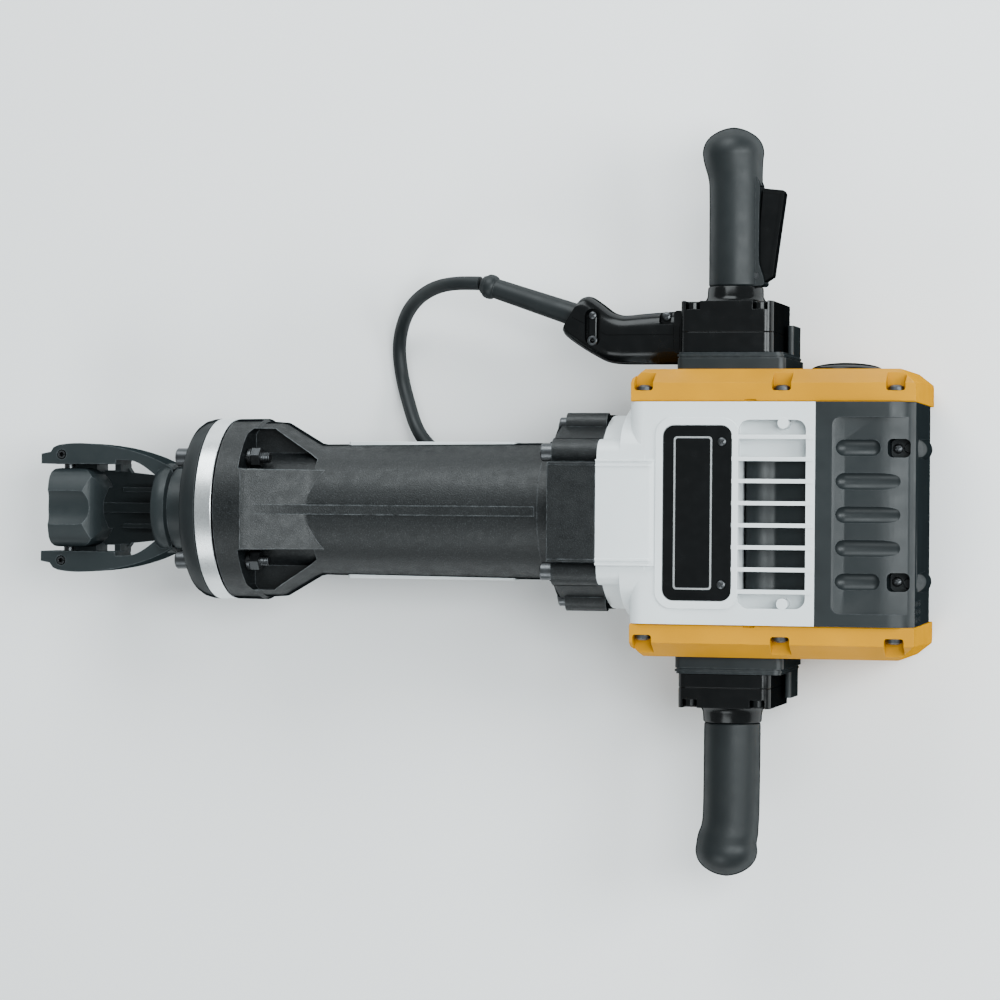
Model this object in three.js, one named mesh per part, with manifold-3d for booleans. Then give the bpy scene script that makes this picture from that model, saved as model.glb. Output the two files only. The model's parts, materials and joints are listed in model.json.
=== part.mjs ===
// An electric demolition hammer (pavement breaker) with two side handles, lying on its back.
// Millimetres. +X runs along the tool axis towards the rear cover, +Y towards the switch
// handle and +Z up. Every sub-part but the cord is built around the tool axis (y = 0, z = 0)
// in a group that stands AXIS_HEIGHT above the floor.

import * as THREE from "three";
import { mergeVertices } from "three/addons/utils/BufferGeometryUtils.js";
import Module from "manifold-3d";

const wasm = await Module();
wasm.setup();

// ---------------------------------------------------------------- driving dimensions

const GAP = 0.3; // left between pieces that touch
const AXIS_HEIGHT = 92; // tool axis above the floor
const AXIS_SHIFT = -10; // tool axis from the middle of the handle span

// Stations along the tool axis, from the nose tip to the rear face.
const NOSE_TIP = -406.5;
const LATCH_PIVOT = -386.5;
const LATCH_END = -343;
const COLLAR_FRONT = -294;
const COLLAR_END = -278;
const BOLT_HEADS = -264;
const BUMPER_FRONT = -253;
const RING_FRONT = -237;
const HOUSING_FRONT = -218.5;
const BORE_STEP = -200;
const FLANGE_END = -191;
const CONE_START = -172;
const BARREL_START = -140;
const REAR_FLANGE = 88;
const HOUSING_END = 133;
const BODY_FRONT = 161;
const COVER_SEAM = 324;
const BODY_REAR = 408;
const REAR_SLOPE = 4; // the rear face leans in by this much towards the back
const COVER_REAR = 411.5;

// Radii about the tool axis.
const FLANGE_R = 82.6;
const NECK_R = 38;
const SLEEVE_R = 23.7;
const BORE_R = 47;
const LINER_BORE_R = 43;

// The body, seen along the tool axis.
const BODY_HALF_WIDTH = 96;
const BODY_TOP = 85;
const BODY_BACK = -AXIS_HEIGHT;
const WALL = 7;
const SIDE_COVER_REACH = 125;
const SIDE_COVER_TOP = 82;
const SIDE_COVER_BACK = -89;
const SIDE_COVER_SCREWS = [173.5, 294, 392];

// The handles.
const GRIP_X = 239.5;
const SWITCH_HANDLE_REACH = 341;
const PLAIN_HANDLE_REACH = 321;
const HANDLE_TRAVEL = 3; // each way, against the vibration springs

// The drive: a motor, two gear stages and a crank, all on shafts along Y.
const MOTOR_X = 338.7;
const STAGE_1 = { module: 2, pinionTeeth: 8, gearTeeth: 53 };
const STAGE_2 = { module: 2.5, pinionTeeth: 11, gearTeeth: 36 };
const LAYSHAFT_X = MOTOR_X - centreDistance(STAGE_1);
const CRANK_X = LAYSHAFT_X - centreDistance(STAGE_2);
const CRANK_THROW = 27;
const ROD_LENGTH = 114;

// The lead.
const CORD_R = 6.25;
const CORD_SIDES = 10;
const CORD_STEPS = 36;
const HANK_LIFT = 1.3; // the tie passes under the hank
const HANK_FRONT = -145;
const HANK_REAR = 82;
const HANK_OUTER = 59; // half width outside
const HANK_INNER = 34; // half width of its open middle

// ---------------------------------------------------------------- materials

const surface = (color, roughness, metalness) =>
  new THREE.MeshStandardMaterial({ color, roughness, metalness });

const MATERIAL = {
  forgedSteel: surface(0x565b5e, 0.55, 0.7),
  groundSteel: surface(0xb8bcc0, 0.25, 1.0),
  boltSteel: surface(0x8d9296, 0.35, 0.9),
  silverRing: surface(0xd9dedf, 0.35, 0.6),
  blackCasting: surface(0x3c4043, 0.5, 0.2),
  silverCasting: surface(0xd7dbdc, 0.42, 0.35),
  greyPlastic: surface(0x53585c, 0.6, 0.0),
  blackGloss: surface(0x1d1f20, 0.18, 0.0),
  yellowPlastic: surface(0xf7b500, 0.32, 0.0),
  rubber: surface(0x3e4245, 0.8, 0.0),
  copper: surface(0xb06a3b, 0.35, 1.0),
  laminations: surface(0x6f7478, 0.5, 0.8),
  bronze: surface(0xa5814a, 0.4, 0.9),
  carbon: surface(0x222222, 0.9, 0.0),
  seal: surface(0x181818, 0.7, 0.0),
};

// ---------------------------------------------------------------- solids

// A closed geometry as a manifold-3d solid. Triangles that close up to a line are dropped.
function solidOf(geometry) {
  const bare = new THREE.BufferGeometry();
  bare.setAttribute("position", geometry.getAttribute("position"));
  bare.setIndex(geometry.getIndex());
  const merged = mergeVertices(bare, 1e-4);
  const corners = merged.getIndex().array;
  const kept = [];
  for (let i = 0; i < corners.length; i += 3) {
    const [a, b, c] = corners.slice(i, i + 3);
    if (a !== b && b !== c && c !== a) kept.push(a, b, c);
  }
  return new wasm.Manifold(
    new wasm.Mesh({
      numProp: 3,
      vertProperties: merged.getAttribute("position").array,
      triVerts: new Uint32Array(kept),
    }),
  );
}

function geometryOf(solid) {
  const { vertProperties, triVerts } = solid.getMesh();
  const geometry = new THREE.BufferGeometry();
  geometry.setAttribute("position", new THREE.BufferAttribute(vertProperties, 3));
  geometry.setIndex(new THREE.BufferAttribute(triVerts, 1));
  geometry.computeVertexNormals();
  return geometry;
}

const join = (first, ...others) => others.reduce((whole, next) => whole.add(next), first);
const cut = (first, ...others) => others.reduce((whole, next) => whole.subtract(next), first);

// A box from its limits along x, y and z.
function block([x0, x1], [y0, y1], [z0, z1]) {
  const box = new THREE.BoxGeometry(x1 - x0, y1 - y0, z1 - z0);
  return solidOf(box.translate((x0 + x1) / 2, (y0 + y1) / 2, (z0 + z1) / 2));
}

// Turns a geometry made along +X so that it runs along another axis.
const TURN = {
  X: (geometry) => geometry,
  Y: (geometry) => geometry.rotateZ(Math.PI / 2),
  Z: (geometry) => geometry.rotateY(-Math.PI / 2),
};

// A solid of revolution. The profile lists [distance along the axis, radius].
function turned(profile, { axis = "X", at = [0, 0, 0], sides = 24 } = {}) {
  const points = profile.map(([along, radius]) => new THREE.Vector2(radius, along));
  const lathe = new THREE.LatheGeometry(points, sides).rotateZ(-Math.PI / 2);
  return solidOf(TURN[axis](lathe).translate(...at));
}

const rod = (radius, from, to, options) =>
  turned([[from, 0], [from, radius], [to, radius], [to, 0]], options);

const tube = (outer, inner, from, to, options) =>
  turned([[from, inner], [from, outer], [to, outer], [to, inner], [from, inner]], options);

// How an outline lies: its own two directions, then the way that it is extruded.
const LIE = {
  X: [[0, 1, 0], [0, 0, 1], [1, 0, 0]],
  Y: [[1, 0, 0], [0, 0, 1], [0, -1, 0]],
  Z: [[1, 0, 0], [0, 1, 0], [0, 0, 1]],
};

// An outline, with any holes, extruded along an axis. A bevel chamfers both ends inwards.
function prism(outline, axis, from, to, { bevel = 0, holes = [] } = {}) {
  const shape = new THREE.Shape(outline.map(([a, b]) => new THREE.Vector2(a, b)));
  shape.holes = holes.map((hole) => new THREE.Path(hole.map(([a, b]) => new THREE.Vector2(a, b))));
  const geometry = new THREE.ExtrudeGeometry(shape, {
    depth: to - from - 2 * bevel,
    bevelEnabled: bevel > 0,
    bevelThickness: bevel,
    bevelSize: bevel,
    bevelOffset: -bevel,
    bevelSegments: 1,
    curveSegments: 8,
  });
  const start = (axis === "Y" ? -to : from) + bevel;
  const [first, second, way] = LIE[axis].map((direction) => new THREE.Vector3(...direction));
  const lie = new THREE.Matrix4().makeBasis(first, second, way);
  return solidOf(geometry.translate(0, 0, start).applyMatrix4(lie));
}

// A rectangle's outline with its corners cut at 45 degrees.
function rectangle([a0, a1], [b0, b1], corner = 0) {
  if (corner === 0) return [[a0, b0], [a1, b0], [a1, b1], [a0, b1]];
  const c = corner;
  return [
    [a0 + c, b0], [a1 - c, b0], [a1, b0 + c], [a1, b1 - c],
    [a1 - c, b1], [a0 + c, b1], [a0, b1 - c], [a0, b0 + c],
  ];
}

// Mirrors an outline's second direction.
const flipped = (outline) => outline.map(([a, b]) => [a, -b]);

function centreDistance({ module: size, pinionTeeth, gearTeeth }) {
  return (size * (pinionTeeth + gearTeeth)) / 2;
}

// A spur gear along Y with straight-flanked teeth, thin enough to turn freely in mesh.
function gear(size, teeth, boreRadius, [y0, y1], x, firstTooth) {
  const pitchRadius = (size * teeth) / 2;
  const flank = [
    { radius: pitchRadius - 1.15 * size, share: -0.32 },
    { radius: pitchRadius + 0.75 * size, share: -0.12 },
    { radius: pitchRadius + 0.75 * size, share: 0.12 },
    { radius: pitchRadius - 1.15 * size, share: 0.32 },
  ];
  const pitchAngle = (2 * Math.PI) / teeth;
  const outline = [];
  for (let tooth = 0; tooth < teeth; tooth += 1) {
    for (const { radius, share } of flank) {
      const angle = firstTooth + (tooth + share) * pitchAngle;
      outline.push([x + radius * Math.cos(angle), radius * Math.sin(angle)]);
    }
  }
  const blank = prism(outline, "Y", y0, y1);
  if (boreRadius === 0) return blank;
  return cut(blank, rod(boreRadius, y0 - 1, y1 + 1, { axis: "Y", at: [x, 0, 0], sides: 20 }));
}

// ---------------------------------------------------------------- the scene graph

const hammer = new THREE.Group();
const machine = new THREE.Group();
machine.position.set(0, AXIS_SHIFT, AXIS_HEIGHT);
hammer.add(machine);

function add(name, solid, material, group = machine) {
  const mesh = new THREE.Mesh(geometryOf(solid), material);
  mesh.name = name;
  group.add(mesh);
}

// ---------------------------------------------------------------- nose and tool latch

const ARM_INNER = 40.3;
const LATCH_HALF_WIDTH = 36.3;
const BOLT_CIRCLE = 46.5; // each nose bolt's y and z
const NOSE_BOLT_R = 5;

// One arm of the fork, seen from above.
const ARM_OUTLINE = [
  [NOSE_TIP, ARM_INNER], [-325, ARM_INNER], [-300, 33], [-284, 24],
  [COLLAR_END, 24], [COLLAR_END, 37], [-295, 46.5], [-323, 54.7], [-346, 58.2], [-365, 59.3],
  [-389, 58], [-396, 52.5], [NOSE_TIP, 50],
];

function noseFork() {
  const arms = [ARM_OUTLINE, flipped(ARM_OUTLINE)].map((outline) =>
    prism(outline, "Z", -21, 21, { bevel: 2.5 }),
  );
  const collar = rod(42, COLLAR_FRONT, COLLAR_END);
  const neck = rod(NECK_R - GAP, COLLAR_END - 1, BORE_STEP);
  const cradleOutline = [
    [-390, -39], [-332, -39], [-305, -28], [-282, -28],
    [-282, 28], [-305, 28], [-332, 39], [-390, 39],
  ];
  const cradle = prism(cradleOutline, "Z", -42, -34);
  const cradleSides = [-1, 1].map((side) =>
    block([-390, -345], side > 0 ? [34, 42] : [-42, -34], [-42, -16]),
  );
  const rib = block([-390, -284], [-4.5, 4.5], [-38, -27]);
  const whole = join(collar, neck, cradle, rib, ...arms, ...cradleSides);
  const pinHole = rod(5.3, -70, 70, { axis: "Y", at: [LATCH_PIVOT, 0, 0], sides: 16 });
  return cut(whole, rod(SLEEVE_R + GAP, COLLAR_FRONT - 5, BORE_STEP + 5), pinHole);
}

// The saddle that keeps the chisel in. It swings up on two stub pins.
function toolLatch() {
  const outline = [
    [-392.5, -LATCH_HALF_WIDTH], [-358, -LATCH_HALF_WIDTH], [-347, -26], [LATCH_END, -10],
    [LATCH_END, 10], [-347, 26], [-358, LATCH_HALF_WIDTH], [-392.5, LATCH_HALF_WIDTH],
  ];
  const saddle = prism(outline, "Z", -6, 42, { bevel: 3 });
  const eyes = rod(8.5, -LATCH_HALF_WIDTH, LATCH_HALF_WIDTH, {
    axis: "Y", at: [LATCH_PIVOT, 0, 0], sides: 20,
  });
  const shankWay = join(
    rod(19, -410, -330, { sides: 20 }),
    block([-410, -330], [-19, 19], [-20, 0]),
  );
  const finger = turned([[-398, 0], [-398, 13], [-360, 13], [-350, 0]], {
    at: [0, 0, 49], sides: 20,
  });
  const pinHole = rod(5.3, -50, 50, { axis: "Y", at: [LATCH_PIVOT, 0, 0], sides: 16 });
  return cut(join(saddle, eyes), shankWay, finger, pinHole);
}

function latchPin(side) {
  const [from, to] = side > 0 ? [20.5, 57] : [-57, -20.5];
  return rod(5, from, to, { axis: "Y", at: [LATCH_PIVOT, 0, 0], sides: 16 });
}

function toolSleeve() {
  const acrossFlats = 28.6;
  const corner = acrossFlats / Math.sqrt(3);
  const hexagon = Array.from({ length: 6 }, (_, i) => [
    corner * Math.cos((i * Math.PI) / 3),
    corner * Math.sin((i * Math.PI) / 3),
  ]);
  const sleeve = rod(SLEEVE_R, COLLAR_FRONT + 1, -206);
  return cut(sleeve, prism(hexagon, "X", COLLAR_FRONT - 5, BORE_STEP));
}

// The four corners in which the nose bolts sit.
const NOSE_BOLTS = [[1, 1], [-1, 1], [-1, -1], [1, -1]].map(([y, z]) => [
  0, y * BOLT_CIRCLE, z * BOLT_CIRCLE,
]);

const boltHoles = (from, to) =>
  NOSE_BOLTS.map((at) => rod(NOSE_BOLT_R + GAP, from, to, { at, sides: 12 }));

function bumperDisc() {
  const profile = [
    [BUMPER_FRONT, NECK_R], [BUMPER_FRONT, 77], [BUMPER_FRONT + 4, 81],
    [RING_FRONT - GAP, FLANGE_R], [RING_FRONT - GAP, NECK_R], [BUMPER_FRONT, NECK_R],
  ];
  return cut(turned(profile, { sides: 36 }), ...boltHoles(BUMPER_FRONT - 2, RING_FRONT + 2));
}

function collarRing() {
  const ring = tube(FLANGE_R, NECK_R, RING_FRONT, HOUSING_FRONT - GAP, { sides: 36 });
  return cut(ring, ...boltHoles(RING_FRONT - 2, HOUSING_FRONT + 2));
}

// A long bolt with its nut and washer tight against the flange.
function noseBolt(at) {
  const head = rod(8.2, BOLT_HEADS, BUMPER_FRONT - GAP, { at, sides: 12 });
  const shank = rod(NOSE_BOLT_R, -255, -176, { at, sides: 12 });
  const nut = rod(8, -197 + GAP, -184, { at, sides: 6 });
  return join(shank, head, nut);
}

// ---------------------------------------------------------------- barrel housing

const WINDOW_INNER = 36;
const BOSS_SPOTS = [[52, 70], [-52, 70], [74, 0], [-74, 0], [52, -70], [-52, -70]];

function barrelHousing() {
  const shell = turned(
    [
      [HOUSING_FRONT, NECK_R], [HOUSING_FRONT, FLANGE_R], [FLANGE_END, FLANGE_R],
      [FLANGE_END + 3, 79.5], [CONE_START, 79.5], [BARREL_START, 59.3], [75, 61.5],
      [75, 63], [REAR_FLANGE, 63.3], [REAR_FLANGE, 84], [REAR_FLANGE + 5, 86], [HOUSING_END, 86],
      [HOUSING_END, BORE_R], [BORE_STEP, BORE_R], [BORE_STEP, NECK_R], [HOUSING_FRONT, NECK_R],
    ],
    { sides: 36 },
  );
  const topPad = block([REAR_FLANGE + 2, HOUSING_END], [-44, 44], [60, 90]);
  const foot = block([REAR_FLANGE + 2, HOUSING_END], [-44, 44], [BODY_BACK, -60]);
  const bosses = BOSS_SPOTS.map(([y, z]) =>
    rod(12.5, REAR_FLANGE + 4, HOUSING_END, { at: [0, y, z], sides: 16 }),
  );
  const spine = block([-188, 72], [-4.2, 4.2], [55, 63]);
  const windows = [];
  for (const [, y, z] of NOSE_BOLTS) {
    const yLimits = y > 0 ? [WINDOW_INNER, 72] : [-72, -WINDOW_INNER];
    const zLimits = z > 0 ? [25, 90] : [-90, -25];
    windows.push(cut(block([-197, -138], yLimits, zLimits), rod(55.5, -210, -130, { sides: 24 })));
  }
  // The sloping faces between the windows, above and below.
  const slope = [[-193, 83.5], [-193, 95], [-138, 95], [-138, 59.8]];
  const saddles = [slope, flipped(slope)].map((outline) =>
    prism(outline, "Y", -WINDOW_INNER + 0.5, WINDOW_INNER - 0.5),
  );
  const boltWays = NOSE_BOLTS.map((at) => rod(NOSE_BOLT_R + GAP, -222, -195, { at, sides: 12 }));
  const tapped = BOSS_SPOTS.map(([y, z]) =>
    join(
      rod(4.3, REAR_FLANGE + 3, HOUSING_END + 1, { at: [0, y, z], sides: 10 }),
      rod(8.6, REAR_FLANGE - 8, REAR_FLANGE + 4, { at: [0, y, z], sides: 12 }),
    ),
  );
  const bore = rod(BORE_R, BORE_STEP, HOUSING_END + 1, { sides: 32 });
  return cut(
    cut(join(shell, topPad, foot, spine, ...bosses), bore),
    ...windows, ...saddles, ...boltWays, ...tapped,
  );
}

function barrelBolt([y, z]) {
  const at = [0, y, z];
  return join(
    rod(8, REAR_FLANGE - 5.5, REAR_FLANGE + 4 - GAP, { at, sides: 12 }),
    rod(4, REAR_FLANGE, HOUSING_END - 1, { at, sides: 10 }),
  );
}

// ---------------------------------------------------------------- impact mechanism

// At rest the crank pin is level with the crank shaft, at the end nearest the tool.
const CRANK_PIN_X = CRANK_X - CRANK_THROW;
const WRIST_PIN_X = CRANK_PIN_X - ROD_LENGTH;
const PISTON_FRONT = -14;
const PISTON_LENGTH = 106;

function cylinderLiner() {
  const liner = tube(BORE_R - GAP, LINER_BORE_R, BORE_STEP + GAP, 150, { sides: 32 });
  const breatherHoles = [-1, 1].map((side) =>
    rod(4, side > 0 ? 40 : -50, side > 0 ? 50 : -40, { axis: "Y", at: [-70, 0, 0], sides: 10 }),
  );
  return cut(liner, ...breatherHoles);
}

// The guide holds the beat piece in line behind the tool.
function beatPieceGuide() {
  return turned([
    [-199, 20.4], [-199, LINER_BORE_R - GAP], [-150, LINER_BORE_R - GAP],
    [-150, 26.4], [-156, 26.4], [-172, 20.4], [-199, 20.4],
  ]);
}

function beatPiece() {
  return turned([[-204, 0], [-204, 20], [-168, 20], [-154, 26], [-132, 26], [-130, 24], [-130, 0]]);
}

function ram() {
  return turned([[-118, 0], [-118, 34], [-114, 42.6], [-56, 42.6], [-56, 0]]);
}

const sealRing = (from, to) => tube(LINER_BORE_R - 0.1, 39.3, from + GAP, to - GAP, { sides: 32 });

// A cup with a long skirt: the connecting rod swings inside the skirt.
function piston() {
  return turned([
    [PISTON_FRONT, 0], [PISTON_FRONT, 42.6], [PISTON_FRONT + 6, 42.6], [PISTON_FRONT + 6, 39],
    [PISTON_FRONT + 11, 39], [PISTON_FRONT + 11, 42.6], [PISTON_FRONT + PISTON_LENGTH, 42.6],
    [PISTON_FRONT + PISTON_LENGTH, 37.2], [PISTON_FRONT + 16, 37.2], [PISTON_FRONT + 16, 0],
  ]);
}

function wristPin() {
  return rod(6, -15, 15, { axis: "Y", at: [WRIST_PIN_X, 0, 0], sides: 16 });
}

function connectingRod() {
  const eye = (x, radius) => rod(radius, -8, 8, { axis: "Y", at: [x, 0, 0] });
  const shank = block([WRIST_PIN_X, CRANK_PIN_X], [-5, 5], [-6.5, 6.5]);
  const hole = (x, radius) => rod(radius, -12, 12, { axis: "Y", at: [x, 0, 0], sides: 16 });
  return cut(
    join(shank, eye(WRIST_PIN_X, 9.2), eye(CRANK_PIN_X, 15)),
    hole(WRIST_PIN_X, 6.3),
    hole(CRANK_PIN_X, 9.3),
  );
}

// ---------------------------------------------------------------- gears and motor

const STAGE_2_LAYER = [-109, -97];
const STAGE_1_LAYER = [-120.5, -110.5];
const SHAFT_END = STAGE_2_LAYER[0] - 1; // where the shafts of the crank and the motor end
const BEARING_PLATE = [-94, -84];

function crankshaft() {
  const pin = rod(9, -14, 9, { axis: "Y", at: [CRANK_PIN_X, 0, 0], sides: 16 });
  const web = rod(42, -24, -12, { axis: "Y", at: [CRANK_X, 0, 0], sides: 32 });
  const shaft = rod(12, SHAFT_END, -20, { axis: "Y", at: [CRANK_X, 0, 0], sides: 20 });
  return join(web, pin, shaft);
}

function crankGear() {
  const { module: size, gearTeeth } = STAGE_2;
  return gear(size, gearTeeth, 12 + GAP, STAGE_2_LAYER, CRANK_X, 0);
}

const bearing = (x, outer, inner, [y0, y1]) =>
  tube(outer, inner + GAP, y0, y1, { axis: "Y", at: [x, 0, 0] });

function intermediateGear() {
  const { module: size, gearTeeth } = STAGE_1;
  return gear(size, gearTeeth, 8 + GAP, STAGE_1_LAYER, LAYSHAFT_X, 0);
}

// The layshaft carries the small gear of the second stage, cut in one with it.
function layshaft() {
  const { module: size, pinionTeeth } = STAGE_2;
  const mesh = Math.PI + Math.PI / pinionTeeth;
  const shaft = rod(8, STAGE_1_LAYER[0] - 0.2, -70, { axis: "Y", at: [LAYSHAFT_X, 0, 0], sides: 16 });
  return join(shaft, gear(size, pinionTeeth, 0, STAGE_2_LAYER, LAYSHAFT_X, mesh));
}

// The motor shaft ends in the small gear of the first stage.
function armatureShaft() {
  const { module: size, pinionTeeth } = STAGE_1;
  const mesh = Math.PI + Math.PI / pinionTeeth;
  const shaft = rod(7, SHAFT_END, 108, { axis: "Y", at: [MOTOR_X, 0, 0], sides: 16 });
  return join(shaft, gear(size, pinionTeeth, 0, [STAGE_1_LAYER[0], SHAFT_END + 0.5], MOTOR_X, mesh));
}

const onMotor = (outer, [y0, y1], inner = 7) =>
  tube(outer, inner + GAP, y0, y1, { axis: "Y", at: [MOTOR_X, 0, 0] });

// The wound core: windings bulge from both ends of the lamination stack.
function armatureCore() {
  return turned(
    [
      [-53, 7 + GAP], [-51, 24], [-42, 26], [-42, 31.5], [36, 31.5],
      [36, 26], [46, 24], [48, 7 + GAP], [-53, 7 + GAP],
    ],
    { axis: "Y", at: [MOTOR_X, 0, 0] },
  );
}

function coolingFan() {
  const hub = onMotor(16, [-76, -60]);
  const disc = onMotor(52, [-76, -73]);
  const bladeCount = 8;
  let fan = join(hub, disc);
  for (let i = 0; i < bladeCount; i += 1) {
    const blade = new THREE.BoxGeometry(36, 14, 2.4)
      .translate(33, -67, 0)
      .rotateY((i * 2 * Math.PI) / bladeCount)
      .translate(MOTOR_X, 0, 0);
    fan = join(fan, solidOf(blade));
  }
  return fan;
}

function stator() {
  const bore = 33;
  const ring = onMotor(60, [-54, 47], bore - GAP);
  const flats = [-1, 1].map((side) =>
    block([MOTOR_X - 70, MOTOR_X + 70], [-60, 50], side > 0 ? [54, 70] : [-70, -54]),
  );
  return cut(ring, ...flats);
}

function carbonBrush(side) {
  const reach = side > 0 ? [18.6, 44] : [-44, -18.6];
  return block([MOTOR_X - 4, MOTOR_X + 4], [54, 66], reach);
}

// The plate that closes the gear case carries the bearings of all three shafts.
function bearingPlate() {
  const plate = block([BODY_FRONT + 10, COVER_SEAM - 2], BEARING_PLATE, [-83, 77]);
  const lug = rod(30, ...BEARING_PLATE, { axis: "Y", at: [MOTOR_X, 0, 0] });
  const holes = [
    [CRANK_X, 24], [LAYSHAFT_X, 8], [MOTOR_X, 15],
  ].map(([x, radius]) => rod(radius + GAP, -96, -82, { axis: "Y", at: [x, 0, 0] }));
  return cut(join(plate, lug), ...holes);
}

// ---------------------------------------------------------------- body and covers

const VENT = { x: [257.8, 316.2], y: [-81, 81], ribs: 8, ribHalf: 1.5 };
const NAMEPLATE = { x: [191.8, 252.6], y: [-75.5, 75.5], corner: 9 };

// The open frame of the body: front wall, face with the vent, and back.
function bodyCasting() {
  const inside = [-BODY_HALF_WIDTH - 1, BODY_HALF_WIDTH + 1];
  const outside = [-BODY_HALF_WIDTH, BODY_HALF_WIDTH];
  const shell = prism(
    [
      [BODY_FRONT + 6, BODY_BACK], [COVER_SEAM, BODY_BACK], [COVER_SEAM, BODY_TOP],
      [BODY_FRONT + 6, BODY_TOP], [BODY_FRONT, BODY_TOP - 6], [BODY_FRONT, BODY_BACK + 6],
    ],
    "Y",
    ...outside,
  );
  const hollow = block(
    [BODY_FRONT + WALL, COVER_SEAM + 1],
    inside,
    [BODY_BACK + WALL, BODY_TOP - WALL],
  );
  const neck = rod(86, HOUSING_END + GAP, BODY_FRONT + 2, { sides: 36 });
  const neckPad = block([HOUSING_END + GAP, BODY_FRONT + 2], [-44, 44], [60, 89]);
  const neckFoot = block([HOUSING_END + GAP, BODY_FRONT + 2], [-44, 44], [BODY_BACK, -60]);
  const topPad = prism(
    [[BODY_FRONT, 70], [BODY_FRONT, 89], [186, 86.5], [186, 80], [BODY_FRONT + 8, 80]], "Y", -44, 44,
  );
  const bore = rod(BORE_R, HOUSING_END - 1, BODY_FRONT + WALL + 1, { sides: 32 });
  const vent = block(VENT.x, VENT.y, [BODY_TOP - WALL - 1, BODY_TOP + 1]);
  const plateOutline = rectangle(NAMEPLATE.x, NAMEPLATE.y, NAMEPLATE.corner);
  const plateSeat = prism(plateOutline, "Z", BODY_TOP - 2, BODY_TOP + 6);
  const frame = cut(join(shell, neck, neckPad, neckFoot, topPad), hollow, bore, vent, plateSeat);
  const ribs = [];
  const ribPitch = 19.4;
  const along = [VENT.x[0] - 2, VENT.x[1] + 6];
  for (let i = 0; i < VENT.ribs; i += 1) {
    const y = (i - (VENT.ribs - 1) / 2) * ribPitch;
    const across = [y - VENT.ribHalf, y + VENT.ribHalf];
    ribs.push(block(along, across, [BODY_TOP - 5, BODY_TOP + 0.6]));
  }
  return join(frame, ...ribs);
}

function nameplate() {
  const { x: [x0, x1], y: [y0, y1], corner } = NAMEPLATE;
  const outline = rectangle([x0 + GAP, x1 - GAP], [y0 + GAP, y1 - GAP], corner);
  return prism(outline, "Z", BODY_TOP - 2 + GAP, BODY_TOP + 0.8);
}

function rearCover() {
  const start = COVER_SEAM + GAP;
  const edge = 12;
  const backRear = BODY_REAR - REAR_SLOPE;
  const outline = [
    [start, BODY_BACK], [backRear - edge, BODY_BACK], [backRear, BODY_BACK + edge],
    [BODY_REAR, BODY_TOP - edge], [BODY_REAR - edge, BODY_TOP], [start, BODY_TOP],
  ];
  const inner = [
    [start - 1, BODY_BACK + 4], [backRear - edge - 2, BODY_BACK + 4],
    [backRear - 4, BODY_BACK + edge + 2], [BODY_REAR - 4, BODY_TOP - edge - 2],
    [BODY_REAR - edge - 2, BODY_TOP - 4], [start - 1, BODY_TOP - 4],
  ];
  const shell = cut(
    prism(outline, "Y", -BODY_HALF_WIDTH, BODY_HALF_WIDTH),
    prism(inner, "Y", -BODY_HALF_WIDTH - 1, BODY_HALF_WIDTH + 1),
  );
  const bosses = [-1, 1].map((side) =>
    rod(8.5, BODY_REAR - 5, COVER_REAR, { at: [0, side * 58, 0], sides: 16 }),
  );
  return join(shell, ...bosses);
}

// One of the two coloured covers over the sides of the body. Its edges are chamfered widely
// above and below, and narrowly at its rear corner.
function sideCover(side) {
  const inner = BODY_HALF_WIDTH + GAP;
  const [front, rear] = [BODY_FRONT + 1.5, BODY_REAR + 1];
  const [low, high] = [SIDE_COVER_BACK, SIDE_COVER_TOP];
  const section = [
    [inner, low], [112.5, low], [SIDE_COVER_REACH, low + 19],
    [SIDE_COVER_REACH, high - 19], [112.5, high], [inner, high],
  ];
  const plan = [
    [front, inner], [rear, inner], [rear, SIDE_COVER_REACH - 13],
    [rear - 13, SIDE_COVER_REACH], [front + 4, SIDE_COVER_REACH], [front, SIDE_COVER_REACH - 4],
  ];
  const profile = [[front, low], [rear - REAR_SLOPE, low], [rear, high], [front, high]];
  const lump = prism(section, "X", front, rear)
    .intersect(prism(plan, "Z", low, high))
    .intersect(prism(profile, "Y", 0, SIDE_COVER_REACH + 1));
  const hollow = block(
    [front + 5, rear - 15],
    [inner - 1, SIDE_COVER_REACH - 4],
    [low + 17, high - 17],
  );
  const notches = [];
  for (const x of SIDE_COVER_SCREWS) {
    for (const zLimits of [[high - 11, high + 5], [low - 5, low + 11]]) {
      notches.push(block([x - 8, x + 8], [106, SIDE_COVER_REACH + 5], zLimits));
    }
  }
  const cover = cut(lump, hollow, ...notches);
  return side > 0 ? cover : cover.mirror([0, 1, 0]);
}

// The domed cap over the motor's end bearing.
function bearingCap() {
  const face = SIDE_COVER_REACH + GAP;
  return turned(
    [[face, 0], [face, 31], [face + 3, 27], [face + 5.5, 18], [face + 7, 7], [face + 7.3, 0]],
    { axis: "Y", at: [MOTOR_X, 0, 0] },
  );
}

// ---------------------------------------------------------------- handles

const MOUNT_X = [197, 292.5];
const BOX_X = [199, 280.5];
const BOX_Z = [-54, 50];
const MOUNT_Y = SIDE_COVER_REACH + GAP;
const MOUNT_TOP = 140;
const SWITCH_BOX_TOP = 185;
const PLAIN_BOX_TOP = 170;
const CORE_R = 15;

// The slide plate on the side cover, with a cheek behind the handle box.
function handleMount(side, cheekTop) {
  const plate = prism(rectangle(MOUNT_X, [-54, 54], 6), "Y", MOUNT_Y, MOUNT_TOP, { bevel: 1.5 });
  const cheek = block([BOX_X[1] + HANDLE_TRAVEL + 1, 290], [MOUNT_TOP - 2, cheekTop], [-50, -9]);
  const whole = join(plate, cheek);
  return side > 0 ? whole : whole.mirror([0, 1, 0]);
}

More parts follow.
